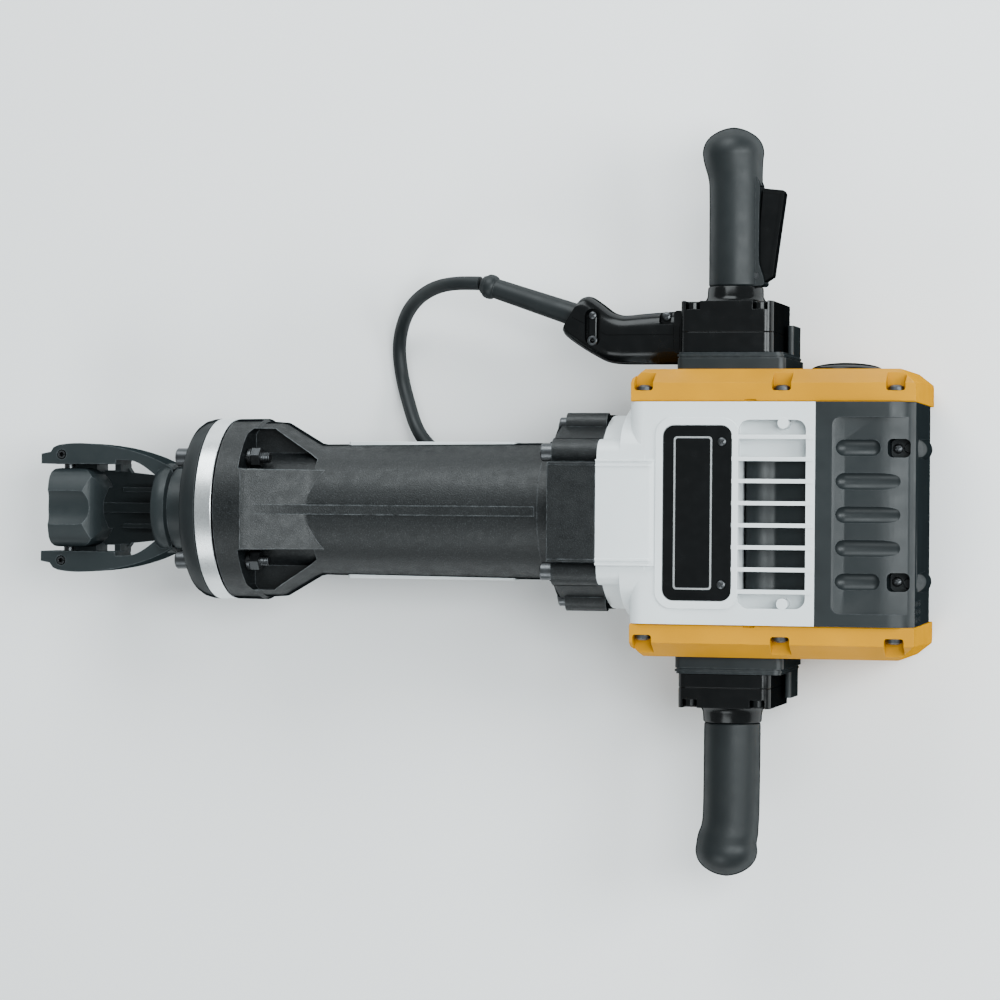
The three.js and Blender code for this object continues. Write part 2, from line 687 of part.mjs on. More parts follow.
// A handle box with its neck and the core that the grip is pushed on, for the +Y side.
function handleBox(top, reach, gripRadius) {
  const shell = prism(rectangle(BOX_X, BOX_Z, 5), "Y", MOUNT_TOP + GAP, top, { bevel: 3 });
  const hollow = block(
    [BOX_X[0] + 4, BOX_X[1] - 4],
    [MOUNT_TOP - 1, top - 5],
    [BOX_Z[0] + 4, BOX_Z[1] - 4],
  );
  const neckAndCore = turned(
    [
      [top - 2, 0], [top - 2, gripRadius + 6], [top + 3, gripRadius + 2],
      [top + 14.5, gripRadius + 0.5], [top + 14.5, CORE_R], [reach - 14, CORE_R], [reach - 14, 0],
    ],
    { axis: "Y", at: [GRIP_X, 0, 0] },
  );
  return join(cut(shell, hollow), neckAndCore);
}

// A rubber grip with a knob at its end.
function handleGrip(start, reach, radius, knobRadius) {
  return turned(
    [
      [start, CORE_R + GAP], [start, radius], [reach - 44, radius], [reach - 34, knobRadius - 1],
      [reach - 22, knobRadius], [reach - 9, knobRadius - 5], [reach - 2, 14], [reach, 5], [reach, 0],
      [reach - 14 + GAP, 0], [reach - 14 + GAP, CORE_R + GAP], [start, CORE_R + GAP],
    ],
    { axis: "Y", at: [GRIP_X, 0, 0] },
  );
}

// The trigger lies in a slot along the rear of the switch grip.
const SWITCH_GRIP = { start: SWITCH_BOX_TOP + 15, radius: 23.6, knob: 27.5 };
const TRIGGER_SLOT = { inner: GRIP_X + CORE_R + 0.8, halfWidth: 9.5, y: [203, 289] };
const TRIGGER_PIVOT = [259.5, 209];

// Cheeks on the grip that stand on both sides of the trigger, seen from above.
const GUARD_OUTLINE = [
  [250, 200], [268.5, 200], [268.5, 204], [265, 216], [265, 276], [268, 289], [266, 296], [250, 302],
];

function switchGrip() {
  const { start, radius, knob } = SWITCH_GRIP;
  const { inner, halfWidth, y } = TRIGGER_SLOT;
  const guard = prism(GUARD_OUTLINE, "Z", -halfWidth - 4, halfWidth + 4);
  const core = rod(CORE_R + GAP, start - 1, y[1] + 30, { axis: "Y", at: [GRIP_X, 0, 0] });
  const grip = join(handleGrip(start, SWITCH_HANDLE_REACH, radius, knob), cut(guard, core));
  const slot = block([inner, inner + 40], y, [-halfWidth, halfWidth]);
  const [pinX, pinY] = TRIGGER_PIVOT;
  const pinWay = rod(2.8, -14, 14, { axis: "Z", at: [pinX, pinY, 0], sides: 12 });
  return cut(grip, slot, pinWay);
}

function trigger() {
  const outline = [
    [256.6, 204.5], [266.5, 204.5], [273, 209], [283.8, 281], [281, 284.5], [264.6, 286], [258.6, 214],
  ];
  const paddle = prism(outline, "Z", -8.8, 8.8);
  const [pinX, pinY] = TRIGGER_PIVOT;
  return cut(paddle, rod(2.8, -12, 12, { axis: "Z", at: [pinX, pinY, 0], sides: 12 }));
}

function triggerPin() {
  const [pinX, pinY] = TRIGGER_PIVOT;
  return rod(2.5, -13.5, 13.5, { axis: "Z", at: [pinX, pinY, 0], sides: 12 });
}

const powerSwitch = () => block([216, 262], [146, 176], [-19, 19]);

// The hollow arm that carries the lead forward from the handle box.
const ARM_END_LOW = [85, 160.5];
const ARM_END_HIGH = [102.5, 189.5];

function cordArm() {
  const clearance = HANDLE_TRAVEL + GAP;
  const outline = [
    ARM_END_LOW, [89, 154.5], [129, 131.8], [MOUNT_X[0] - clearance, 131.8],
    [MOUNT_X[0] - clearance, MOUNT_TOP + GAP], [BOX_X[0] - GAP, MOUNT_TOP + GAP],
    [BOX_X[0] - GAP, 178.5], [153, 176.8], [135, 174.8], [111.5, 191.8], ARM_END_HIGH,
  ];
  return prism(outline, "Z", -21, 21, { bevel: 3 });
}

// ---------------------------------------------------------------- the lead

// The lead's bend sleeve, along a straight line from the arm's end face.
const SLEEVE_START = new THREE.Vector3(86.4, 168.5 - AXIS_SHIFT, 0);
const SLEEVE_END = new THREE.Vector3(7, 194.7 - AXIS_SHIFT, -6);

// A point on the line of the arm's end face, a gap in front of it.
function alongArmEnd(reach) {
  const [x, y] = ARM_END_LOW;
  const slant = Math.atan2(ARM_END_HIGH[1] - y, ARM_END_HIGH[0] - x);
  return [x - GAP / Math.sin(slant) + reach * Math.cos(slant), y + reach * Math.sin(slant)];
}

function strainRelief() {
  const way = SLEEVE_END.clone().sub(SLEEVE_START);
  const length = way.length();
  const profile = [
    [-10, 0], [-10, 10.9], [length - 12, 8.9], [length - 10, 10.8],
    [length - 3, 10.8], [length, 8.4], [length, 0],
  ];
  const points = profile.map(([along, radius]) => new THREE.Vector2(radius, along));
  const lathe = new THREE.LatheGeometry(points, 20);
  const up = new THREE.Vector3(0, 1, 0);
  const turn = new THREE.Quaternion().setFromUnitVectors(up, way.normalize());
  const sleeve = solidOf(lathe.applyQuaternion(turn).translate(...SLEEVE_START));
  const [low, high] = [-10, 40].map((reach) => alongArmEnd(reach));
  const behindArmEnd = prism([low, [low[0] + 60, low[1]], [high[0] + 60, high[1]], high], "Z", -30, 30);
  return cut(sleeve, behindArmEnd);
}

// From the sleeve down to the floor, round, and up onto the hank under the barrel.
const CORD_ROUTE = [
  [4.6, 195.5, 85.8], [-6, 195.9, 83], [-19.5, 196.1, 78], [-35, 194.9, 69],
  [-50.5, 191.2, 57], [-65.5, 184.4, 43], [-78, 174.2, 30], [-86.5, 161.9, 19],
  [-91.5, 148.4, 11], [-93, 135.6, 7], [-91.7, 122.5, 6.4], [-88.8, 109.4, 8],
  [-84, 96.2, 13], [-78, 82.9, 20.5], [-71.5, 69.7, 27.5], [-64, 58, 32], [-54, 47.5, 33.5],
];

function powerCord() {
  const way = new THREE.CatmullRomCurve3(CORD_ROUTE.map((point) => new THREE.Vector3(...point)));
  const section = new THREE.Shape();
  for (let i = 0; i < CORD_SIDES; i += 1) {
    const angle = (i * 2 * Math.PI) / CORD_SIDES;
    const [a, b] = [CORD_R * Math.cos(angle), CORD_R * Math.sin(angle)];
    if (i === 0) section.moveTo(a, b);
    else section.lineTo(a, b);
  }
  return solidOf(new THREE.ExtrudeGeometry(section, { steps: CORD_STEPS, extrudePath: way }));
}

// Half a round end of the hank's outline, from one run over to the other.
function roundEnd(x, radius, startAngle, count = 10) {
  return Array.from({ length: count + 1 }, (_, i) => {
    const angle = startAngle + (i * Math.PI) / count;
    return [x + radius * Math.cos(angle), AXIS_SHIFT + radius * Math.sin(angle)];
  });
}

function cordHank() {
  const ends = [HANK_REAR - HANK_OUTER, HANK_FRONT + HANK_OUTER];
  const loop = (radius) => [
    ...roundEnd(ends[0], radius, -Math.PI / 2),
    ...roundEnd(ends[1], radius, Math.PI / 2),
  ];
  return prism(loop(HANK_OUTER), "Z", HANK_LIFT, HANK_LIFT + 4 * CORD_R, { holes: [loop(HANK_INNER)] });
}

// A strap round both layers of the run nearest the plain handle.
function hankTie() {
  const thickness = 1;
  const y = [AXIS_SHIFT - HANK_OUTER, AXIS_SHIFT - HANK_INNER];
  const grow = ([from, to], by) => [from - by, to + by];
  const z = [HANK_LIFT, HANK_LIFT + 4 * CORD_R];
  const x = [-70, -52];
  return cut(
    block(x, grow(y, thickness + GAP), [0, z[1] + thickness + GAP]),
    block(grow(x, 1), grow(y, GAP), [thickness, z[1] + GAP]),
  );
}

// A flat two-pin plug that lies slantwise in the open middle of the hank.
const PLUG = { x: -2, y: -43.5, turn: (150 * Math.PI) / 180, floor: 0.2 };

function plug() {
  const outline = [
    [14, -8], [20, -9.5], [30, -17.5], [58, -17.5], [58, 17.5], [30, 17.5], [20, 9.5], [14, 8],
  ];
  const body = prism(outline, "Z", PLUG.floor, 24, { bevel: 4 });
  const pins = [-9.5, 9.5].map((y) => rod(2.4, 57, 77, { at: [0, y, 12], sides: 10 }));
  const place = new THREE.Matrix4()
    .makeRotationZ(PLUG.turn)
    .setPosition(PLUG.x, PLUG.y, 0);
  return join(body, ...pins).transform(place.elements);
}

// ---------------------------------------------------------------- assembly

const { forgedSteel, groundSteel, boltSteel, blackCasting, silverCasting } = MATERIAL;
const { blackGloss, yellowPlastic, greyPlastic, rubber } = MATERIAL;

add("nose_fork", noseFork(), forgedSteel);
add("tool_latch", toolLatch(), forgedSteel);
add("latch_pin_switch_side", latchPin(1), boltSteel);
add("latch_pin_plain_side", latchPin(-1), boltSteel);
add("tool_sleeve", toolSleeve(), groundSteel);
add("bumper_disc", bumperDisc(), rubber);
add("collar_ring", collarRing(), MATERIAL.silverRing);
NOSE_BOLTS.forEach((at, i) => add(`nose_bolt_${i + 1}`, noseBolt(at), boltSteel));

add("barrel_housing", barrelHousing(), blackCasting);
BOSS_SPOTS.slice(0, 4).forEach((spot, i) => add(`barrel_bolt_${i + 1}`, barrelBolt(spot), boltSteel));

add("cylinder_liner", cylinderLiner(), groundSteel);
add("beat_piece_guide", beatPieceGuide(), MATERIAL.bronze);
add("beat_piece", beatPiece(), groundSteel);
add("ram", ram(), groundSteel);
add("piston", piston(), groundSteel);
add("piston_seal", sealRing(PISTON_FRONT + 6, PISTON_FRONT + 11), MATERIAL.seal);
add("wrist_pin", wristPin(), groundSteel);
add("connecting_rod", connectingRod(), forgedSteel);

add("crankshaft", crankshaft(), forgedSteel);
add("crank_gear", crankGear(), groundSteel);
add("crank_bearing", bearing(CRANK_X, 24, 12, BEARING_PLATE), groundSteel);
add("intermediate_gear", intermediateGear(), groundSteel);
add("layshaft", layshaft(), groundSteel);
add("bearing_plate", bearingPlate(), silverCasting);
add("armature_shaft", armatureShaft(), groundSteel);
add("armature_core", armatureCore(), MATERIAL.laminations);
add("commutator", onMotor(18, [50, 70]), MATERIAL.copper);
add("cooling_fan", coolingFan(), greyPlastic);
add("stator", stator(), MATERIAL.laminations);
add("motor_bearing_gear_end", bearing(MOTOR_X, 15, 7, BEARING_PLATE), groundSteel);
add("motor_bearing_far_end", bearing(MOTOR_X, 15, 7, [96, 106]), groundSteel);
add("carbon_brush_upper", carbonBrush(1), MATERIAL.carbon);
add("carbon_brush_lower", carbonBrush(-1), MATERIAL.carbon);

add("body_casting", bodyCasting(), silverCasting);
add("nameplate", nameplate(), blackCasting);
add("rear_cover", rearCover(), greyPlastic);
add("side_cover_switch", sideCover(1), yellowPlastic);
add("side_cover_plain", sideCover(-1), yellowPlastic);
add("bearing_cap", bearingCap(), blackGloss);

add("switch_handle_mount", handleMount(1, 166), greyPlastic);
add("switch_handle_box", handleBox(SWITCH_BOX_TOP, SWITCH_HANDLE_REACH, 23.6), blackGloss);
add("switch_handle_grip", switchGrip(), rubber);
add("trigger", trigger(), greyPlastic);
add("trigger_pin", triggerPin(), boltSteel);
add("power_switch", powerSwitch(), blackGloss);
add("cord_arm", cordArm(), blackGloss);

const plainBox = handleBox(PLAIN_BOX_TOP, PLAIN_HANDLE_REACH, 25);
const plainGrip = handleGrip(PLAIN_BOX_TOP + 15, PLAIN_HANDLE_REACH, 25, 27.5);
add("plain_handle_mount", handleMount(-1, 163), greyPlastic);
add("plain_handle_box", plainBox.mirror([0, 1, 0]), blackGloss);
add("plain_handle_grip", plainGrip.mirror([0, 1, 0]), rubber);

add("strain_relief", strainRelief(), rubber);
add("power_cord", powerCord(), rubber, hammer);
add("cord_hank", cordHank(), rubber, hammer);
add("hank_tie", hankTie(), rubber, hammer);
add("plug", plug(), rubber, hammer);

export default hammer;
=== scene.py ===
"""The looks of an electric demolition hammer that lies on its back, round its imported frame.

Shapes are worked out in millimetres about the tool axis, as in the part's source, and every
piece is turned into metres and moved to the frame's place when it is made. The route of the
lead is in metres from the start, in the frame's own coordinates.
"""

import json
from math import copysign, cos, dist, pi, radians, sin, sqrt

import bmesh
import bpy
from mathutils import Matrix, Vector


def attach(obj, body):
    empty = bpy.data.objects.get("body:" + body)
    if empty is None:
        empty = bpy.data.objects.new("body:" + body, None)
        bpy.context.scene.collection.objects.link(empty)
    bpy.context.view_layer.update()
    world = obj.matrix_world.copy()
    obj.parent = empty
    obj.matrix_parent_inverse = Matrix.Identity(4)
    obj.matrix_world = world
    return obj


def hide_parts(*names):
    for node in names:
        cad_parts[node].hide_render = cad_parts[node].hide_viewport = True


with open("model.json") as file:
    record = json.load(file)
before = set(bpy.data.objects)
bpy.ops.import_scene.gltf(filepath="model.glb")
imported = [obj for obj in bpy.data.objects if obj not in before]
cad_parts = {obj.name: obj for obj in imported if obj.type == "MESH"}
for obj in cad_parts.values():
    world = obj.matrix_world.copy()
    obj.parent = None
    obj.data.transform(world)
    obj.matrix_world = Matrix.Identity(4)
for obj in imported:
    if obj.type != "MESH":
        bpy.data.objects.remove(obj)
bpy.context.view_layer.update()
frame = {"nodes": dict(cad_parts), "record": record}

# ------ driving dimensions (mm)

AXIS_SHIFT = -10
AXIS_HEIGHT = 92
GAP = 0.3

BODY_HALF_WIDTH = 96
BODY_TOP = 85
BODY_BACK = -92
COVER_TOP = 82
COVER_BACK = -89
COVER_REACH = 125
COVER_SCREWS = (173.5, 294, 392)
BOLT_CIRCLE = 46.5
LATCH_PIVOT = -386.5
NOSE_TIP = -406.3
BODY_FRONT = 161
BODY_REAR = 408
REAR_SLOPE = 4
GRIP_X = 239.5
MOTOR_X = 338.7

TO_METRES = 0.001
PLACE = Matrix.Translation(Vector((0, AXIS_SHIFT, AXIS_HEIGHT)) * TO_METRES) @ Matrix.Scale(
    TO_METRES, 4
)


def show(name, data):
    """Puts a new object with a mesh, curve, lamp or camera in the scene."""
    made = bpy.data.objects.new(name, data)
    bpy.context.scene.collection.objects.link(made)
    return made


def mesh_of(name, bm):
    """Turns a bmesh into a mesh."""
    mesh = bpy.data.meshes.new(name)
    bm.to_mesh(mesh)
    bm.free()
    return mesh


# ------ camera


def aim_camera():
    """Looks straight down on the tool, from a little towards its rear end."""
    tilt = radians(14)
    roll = radians(0.45)
    right = Vector((cos(tilt), 0, -sin(tilt)))
    back = Vector((sin(tilt), 0, cos(tilt)))
    up = Vector((0, 1, 0))
    rolled_right = right * cos(roll) + up * sin(roll)
    rolled_up = up * cos(roll) - right * sin(roll)
    camera = show("camera", bpy.data.cameras.new("camera"))
    camera.data.sensor_width = 36
    camera.data.lens = 120
    camera.data.clip_end = 20
    turn = Matrix((rolled_right, rolled_up, back)).transposed().to_4x4()
    target = Vector((0.026, AXIS_SHIFT * TO_METRES + 0.0099, AXIS_HEIGHT * TO_METRES))
    camera.matrix_world = Matrix.Translation(target + 3.0 * back) @ turn
    bpy.context.scene.camera = camera


aim_camera()

# ------ materials


class Shader:
    """A node material with a principled shader, and shortcuts for the nodes that feed it."""

    def __init__(self, name):
        self.material = bpy.data.materials.new(name)
        self.material.use_nodes = True
        self.tree = self.material.node_tree
        self.shader = self.tree.nodes["Principled BSDF"]
        self.object_space = self.add("TexCoord").outputs["Object"]

    def add(self, kind, inputs=None, **settings):
        """A new node with its settings, and with its inputs set, or linked to outputs."""
        node = self.tree.nodes.new("ShaderNode" + kind)
        for name, value in settings.items():
            setattr(node, name, value)
        for key, value in (inputs or {}).items():
            if isinstance(value, bpy.types.NodeSocket):
                self.tree.links.new(value, node.inputs[key])
            else:
                node.inputs[key].default_value = value
        return node

    def set(self, socket, value):
        self.shader.inputs[socket].default_value = value

    def link(self, output, socket):
        self.tree.links.new(output, self.shader.inputs[socket])

    def noise(self, scale, detail=3, roughness=0.5, stretch=(1, 1, 1)):
        """Noise with cells of 1/scale metres."""
        mapping = self.add("Mapping", {"Vector": self.object_space, "Scale": stretch})
        inputs = {"Scale": scale, "Detail": detail, "Roughness": roughness}
        inputs["Vector"] = mapping.outputs["Vector"]
        return self.add("TexNoise", inputs).outputs["Fac"]

    def range(self, source, low, high, from_low=0.3, from_high=0.7):
        inputs = {"Value": source, "From Min": from_low, "From Max": from_high}
        return self.add("MapRange", inputs | {"To Min": low, "To Max": high}).outputs["Result"]

    def mix(self, factor, first, second):
        """Mixes two colours, each a tuple or an output."""
        first, second = ((*c, 1) if isinstance(c, tuple) else c for c in (first, second))
        return self.add("Mix", {0: factor, 6: first, 7: second}, data_type="RGBA").outputs[2]

    def multiply(self, first, second):
        return self.add("Math", {0: first, 1: second}, operation="MULTIPLY").outputs[0]

    def edges(self, radius):
        """1 on sharp edges, 0 on flat faces: how far the rounded normal leans from the real one."""
        rounded_normal = self.add("Bevel", {"Radius": radius}, samples=4).outputs["Normal"]
        normals = {0: rounded_normal, 1: self.add("NewGeometry").outputs["Normal"]}
        dot = self.add("VectorMath", normals, operation="DOT_PRODUCT")
        return self.range(dot.outputs["Value"], 1, 0, 0.75, 0.99)

    def shine(self, level):
        """A reflection that fades on faces seen edge-on, as it does on dusty or grained skins."""
        self.set("Specular IOR Level", level)
        facing = self.add("LayerWeight", {"Blend": 0.5}).outputs["Facing"]
        self.link(self.range(facing, level, 0.0, 0.42, 0.78), "Specular IOR Level")

    def bump(self, height, distance, below=None, strength=1.0):
        inputs = {"Height": height, "Distance": distance, "Strength": strength}
        if below is not None:
            inputs["Normal"] = below
        normal = self.add("Bump", inputs).outputs["Normal"]
        self.link(normal, "Normal")
        return normal


MATERIALS = {}  # by slot; each function below adds one


def moulded(name, color, edge_and_glint_colour, roughness, grain=0.00003, grain_scale=2600, edge_wear_and_highlight=0.35, shine=0.3):
    """Moulded plastic or rubber: a fine grain, soft mottling, and edges made paler, partly as worn
    rubbing and partly as a painted edge highlight.
    """
    s = Shader(name)
    surface_colour = s.mix(s.range(s.noise(14, 4), 0, 1), color, tuple(c * 1.25 for c in color))
    # Painted edge highlight with worn rubbing: a noisy mask makes the edges paler.
    rubbed_and_highlit_edges = s.multiply(s.edges(0.0012), s.range(s.noise(220, 4), 0, edge_wear_and_highlight))
    s.link(s.mix(rubbed_and_highlit_edges, surface_colour, edge_and_glint_colour), "Base Color")
    s.link(s.range(s.noise(60, 5), roughness - 0.05, roughness + 0.07), "Roughness")
    s.shine(shine)
    broad = s.bump(s.noise(45, 2), 0.00012, strength=0.6)
    s.bump(s.noise(grain_scale, 2, 0.6), grain, below=broad)
    MATERIALS[name] = s.material


def painted_casting(
    name, color, edge_and_glint_colour, roughness, pits=0.00008, sparkle=0.0, edge_wear_and_highlight=0.4, shine=0.45
):
    """Paint over a sand casting: an uneven skin, orange peel, pale specks painted in as glints, and
    edges made paler, partly as worn rubbing and partly as a painted edge highlight.
    """
    s = Shader(name)
    surface_colour = s.mix(s.range(s.noise(9, 5), 0, 1), color, tuple(min(1, c * 1.12) for c in color))
    if sparkle:
        # Painted glints: pale specks painted into the colour where the paint would sparkle in the light.
        painted_glint_specks = s.range(s.noise(1500, 1), 0, sparkle, 0.58, 0.74)
        surface_colour = s.mix(painted_glint_specks, surface_colour, edge_and_glint_colour)
    # Painted edge highlight with worn rubbing: a noisy mask makes the edges paler.
    rubbed_and_highlit_edges = s.multiply(s.edges(0.0014), s.range(s.noise(160, 5), 0, edge_wear_and_highlight))
    s.link(s.mix(rubbed_and_highlit_edges, surface_colour, edge_and_glint_colour), "Base Color")
    s.link(s.range(s.noise(120, 4), roughness - 0.06, roughness + 0.08), "Roughness")
    s.shine(shine)
    broad = s.bump(s.noise(35, 3), 0.00012, strength=0.2)
    s.bump(s.noise(900, 3, 0.6), pits, below=broad)
    MATERIALS[name] = s.material


def bare_metal(name, color, roughness, stretch=(1, 1, 1), scratches=0.00002):
    """Machined or ground metal with the marks left by the tool that cut it."""
    s = Shader(name)
    marks = s.noise(400, 4, 0.7, stretch)
    s.link(s.mix(s.range(s.noise(30, 4), 0, 1), color, tuple(c * 0.8 for c in color)), "Base Color")
    s.link(s.range(marks, roughness - 0.08, roughness + 0.12), "Roughness")
    s.set("Metallic", 1.0)
    s.bump(marks, scratches)
    MATERIALS[name] = s.material


def glossy_moulding(name, color, roughness):
    """Polished plastic that shows faint swirls where it has been wiped."""
    s = Shader(name)
    s.link(s.mix(s.range(s.noise(20, 3), 0, 1), color, tuple(c * 1.5 for c in color)), "Base Color")
    s.link(s.range(s.noise(90, 5), roughness, roughness + 0.14), "Roughness")
    s.shine(0.22)
    broad = s.bump(s.noise(30, 2), 0.00025, strength=0.5)
    s.bump(s.noise(700, 2), 0.00001, below=broad)
    MATERIALS[name] = s.material


CHARCOAL = (0.0060, 0.0080, 0.0088)
# Pale grey painted on edges and in specks: painted edge highlights and glints, with worn rubbing.
PALE_GLINT_AND_WEAR_GREY = (0.30, 0.33, 0.35)

painted_casting("forged_steel", (0.0140, 0.0185, 0.0200), PALE_GLINT_AND_WEAR_GREY, 0.44, shine=0.3)
bare_metal("ground_steel", (0.62, 0.63, 0.64), 0.25, (1, 8, 8))
bare_metal("bolt_steel", (0.085, 0.088, 0.092), 0.36)
bare_metal("silver_ring", (0.83, 0.86, 0.87), 0.30, (12, 1, 1))
# Its sparkle is pale specks painted in as glints.
painted_casting(
    "black_casting", (0.0026, 0.0034, 0.0038), PALE_GLINT_AND_WEAR_GREY, 0.42, pits=0.00026, sparkle=0.10,
    shine=0.34,
)
# Near-white edges under a strong mask: mostly a painted edge highlight that makes the rims show, partly
# worn rubbing.
painted_casting(
    "silver_casting", (0.62, 0.655, 0.665), (0.95, 0.97, 0.97), 0.36, pits=0.00005, edge_wear_and_highlight=0.8
)
moulded("grey_plastic", (0.0080, 0.0104, 0.0114), PALE_GLINT_AND_WEAR_GREY, 0.42, edge_wear_and_highlight=0.16)
glossy_moulding("black_gloss", (0.0022, 0.0025, 0.0027), 0.14)
moulded(
    "yellow_plastic", (0.44, 0.192, 0.0), (0.60, 0.32, 0.02), 0.40, grain=0.000012, edge_wear_and_highlight=0.2,
    shine=0.12,
)
moulded("rubber", CHARCOAL, (0.16, 0.17, 0.18), 0.48, grain=0.00005, grain_scale=1800)
bare_metal("copper", (0.80, 0.42, 0.22), 0.30, (1, 10, 1))
bare_metal("laminations", (0.10, 0.11, 0.115), 0.42, (1, 40, 1), 0.00006)
bare_metal("bronze", (0.62, 0.42, 0.18), 0.40)
moulded("carbon", (0.02, 0.02, 0.02), (0.1, 0.1, 0.1), 0.75)
moulded("seal", (0.012, 0.012, 0.012), (0.05, 0.05, 0.05), 0.5)

# ------ mesh tools


def about(centre, half):
    return centre - half, centre + half


def inset(span, by):
    return span[0] + by, span[1] - by


def circle(radius, steps):
    angles = [2 * pi * i / steps for i in range(steps)]
    return [(radius * cos(angle), radius * sin(angle)) for angle in angles]


def arc(centre, radii, start, end, steps=8):
    """Points along an ellipse, from one angle to another in degrees."""
    points = []
    for i in range(steps + 1):
        angle = radians(start + (end - start) * i / steps)
        x, y = centre[0] + radii[0] * cos(angle), centre[1] + radii[1] * sin(angle)
        points.append((x, y))
    return points


def skin(bm, rings, looped=False):
    """Faces from each ring of vertices to the next. A ring may be one vertex repeated."""
    for first, second in zip(rings, rings[1:] + (rings[:1] if looped else [])):
        for i in range(len(first)):
            j = (i + 1) % len(first)
            corners = list(dict.fromkeys((first[i], first[j], second[j], second[i])))
            if len(corners) > 2:
                bm.faces.new(corners)


def capped(bm, rings):
    """Makes rings of vertices into a solid with flat ends."""
    skin(bm, rings)
    bm.faces.new(rings[0])
    bm.faces.new(rings[-1])
    bmesh.ops.recalc_face_normals(bm, faces=bm.faces)
    return bm


def lathe(profile, axis="X", at=(0, 0, 0), steps=72):
    """Turns a closed profile of (along, radius) points about an axis."""
    bm = bmesh.new()
    rings = []
    for along, radius in profile:
        if radius < 1e-6:
            rings.append([bm.verts.new((along, 0, 0))] * steps)
        else:
            rings.append([bm.verts.new((along, y, z)) for y, z in circle(radius, steps)])
    skin(bm, rings, looped=profile[0][1] > 1e-6)
    turns = {
        "X": Matrix.Identity(4),
        "Y": Matrix.Rotation(pi / 2, 4, "Z"),
        "Z": Matrix.Rotation(-pi / 2, 4, "Y"),
    }
    bm.transform(Matrix.Translation(at) @ turns[axis])
    bmesh.ops.recalc_face_normals(bm, faces=bm.faces)
    return bm


def rod(radius, start, end, axis="X", at=(0, 0, 0), steps=32):
    return lathe([(start, 0), (start, radius), (end, radius), (end, 0)], axis, at, steps)


LIES = {"X": (1, 2, 0), "Y": (0, 2, 1), "Z": (0, 1, 2)}


def prism(outline, axis, start, end):
    """Extrudes an outline along an axis. X takes (y, z) points, Y takes (x, z), Z takes (x, y)."""
    bm = bmesh.new()
    first, second, way = LIES[axis]

    def layer(along):
        vertices = []
        for a, b in outline:
            point = [0, 0, 0]
            point[first], point[second], point[way] = a, b, along
            vertices.append(bm.verts.new(point))
        return vertices

    low, high = layer(start), layer(end)
    bm.faces.new(low)
    bm.faces.new(high)
    for i in range(len(outline)):
        j = (i + 1) % len(outline)
        bm.faces.new((low[i], low[j], high[j], high[i]))
    bmesh.ops.recalc_face_normals(bm, faces=bm.faces)
    return bm


def block(x, y, z):
    return prism([(x[0], y[0]), (x[1], y[0]), (x[1], y[1]), (x[0], y[1])], "Z", *z)


def rounded(a, b, corner, steps=6):
    """The outline of a rectangle with round corners."""
    right, left, top, bottom = a[1] - corner, a[0] + corner, b[1] - corner, b[0] + corner
    points = []
    for centre, start in (
        ((right, top), 0), ((left, top), 90), ((left, bottom), 180), ((right, bottom), 270),
    ):
        points += arc(centre, (corner, corner), start, start + 90, steps)
    return points


def smooth_line(points, per_span=6, closed=False):
    """A Catmull-Rom line through points of any dimension."""
    count = len(points)
    result = []
    for i in range(count if closed else count - 1):
        places = [i + k if closed else min(max(i + k, 0), count - 1) for k in (-1, 0, 1, 2)]
        near = [points[place % count] for place in places]
        for step in range(per_span):
            t = step / per_span
            weights = (
                -0.5 * t + t**2 - 0.5 * t**3, 1 - 2.5 * t**2 + 1.5 * t**3,
                0.5 * t + 2 * t**2 - 1.5 * t**3, -0.5 * t**2 + 0.5 * t**3,
            )
            result.append(tuple(sum(w * c for w, c in zip(weights, axis)) for axis in zip(*near)))
    if not closed:
        result.append(tuple(points[-1]))
    return result


def mirrored(bm):
    """A copy reflected to the other side of the tool axis."""
    other = bm.copy()
    bmesh.ops.scale(other, vec=(1, -1, 1), verts=other.verts)
    bmesh.ops.recalc_face_normals(other, faces=other.faces)
    return other


def on_side(side, bm):
    """A shape made for the switch side (1), as it is or for the plain side (-1)."""
    return bm if side > 0 else mirrored(bm)


def temporary(bm):
    return show("temporary", mesh_of("temporary", bm))


def combine(base, operation, others):
    """Adds solids to a solid, or cuts them from it. Takes and gives bmesh solids."""
    if not others:
        return base
    target = temporary(base)
    tools = [temporary(other) for other in others]
    for tool in tools:
        modifier = target.modifiers.new("combine", "BOOLEAN")
        modifier.operation = operation
        modifier.solver = "EXACT"
        modifier.object = tool
    bpy.context.view_layer.update()
    done = target.evaluated_get(bpy.context.evaluated_depsgraph_get())
    result = bmesh.new()
    result.from_mesh(done.to_mesh())
    done.to_mesh_clear()
    for piece in (target, *tools):
        mesh = piece.data
        bpy.data.objects.remove(piece)
        bpy.data.meshes.remove(mesh)
    bmesh.ops.remove_doubles(result, verts=result.verts, dist=0.01)
    bmesh.ops.dissolve_limit(
        result, angle_limit=radians(0.5), verts=result.verts, edges=result.edges
    )
    return result


def join(base, *others):
    return combine(base, "UNION", others)


def cut(base, *others):
    return combine(base, "DIFFERENCE", others)


def gathered(solids):
    """Several separate solids in one bmesh."""
    whole = bmesh.new()
    for solid in solids:
        mesh = mesh_of("gathered", solid)
        whole.from_mesh(mesh)
        bpy.data.meshes.remove(mesh)
    return whole


def piece(name, bm, slot, body="machine", nodes=(), edge=0.0, sharp=32, steps=3):
    """Makes a named piece from a bmesh in millimetres, with its edges rounded by edge mm."""
    bm.transform(PLACE)
    mesh = mesh_of(name, bm)
    mesh.shade_smooth()
    mesh.set_sharp_from_angle(angle=radians(sharp))
    mesh.materials.append(MATERIALS[slot])
    made = show(name, mesh)
    if edge:
        bevel = made.modifiers.new("edges", "BEVEL")
        bevel.width = edge * TO_METRES
        bevel.segments = steps
        bevel.limit_method = "ANGLE"
        bevel.angle_limit = radians(sharp)
        bevel.harden_normals = True
    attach(made, body)
    if nodes:
        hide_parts(*nodes)
    return made


# ------ the lead

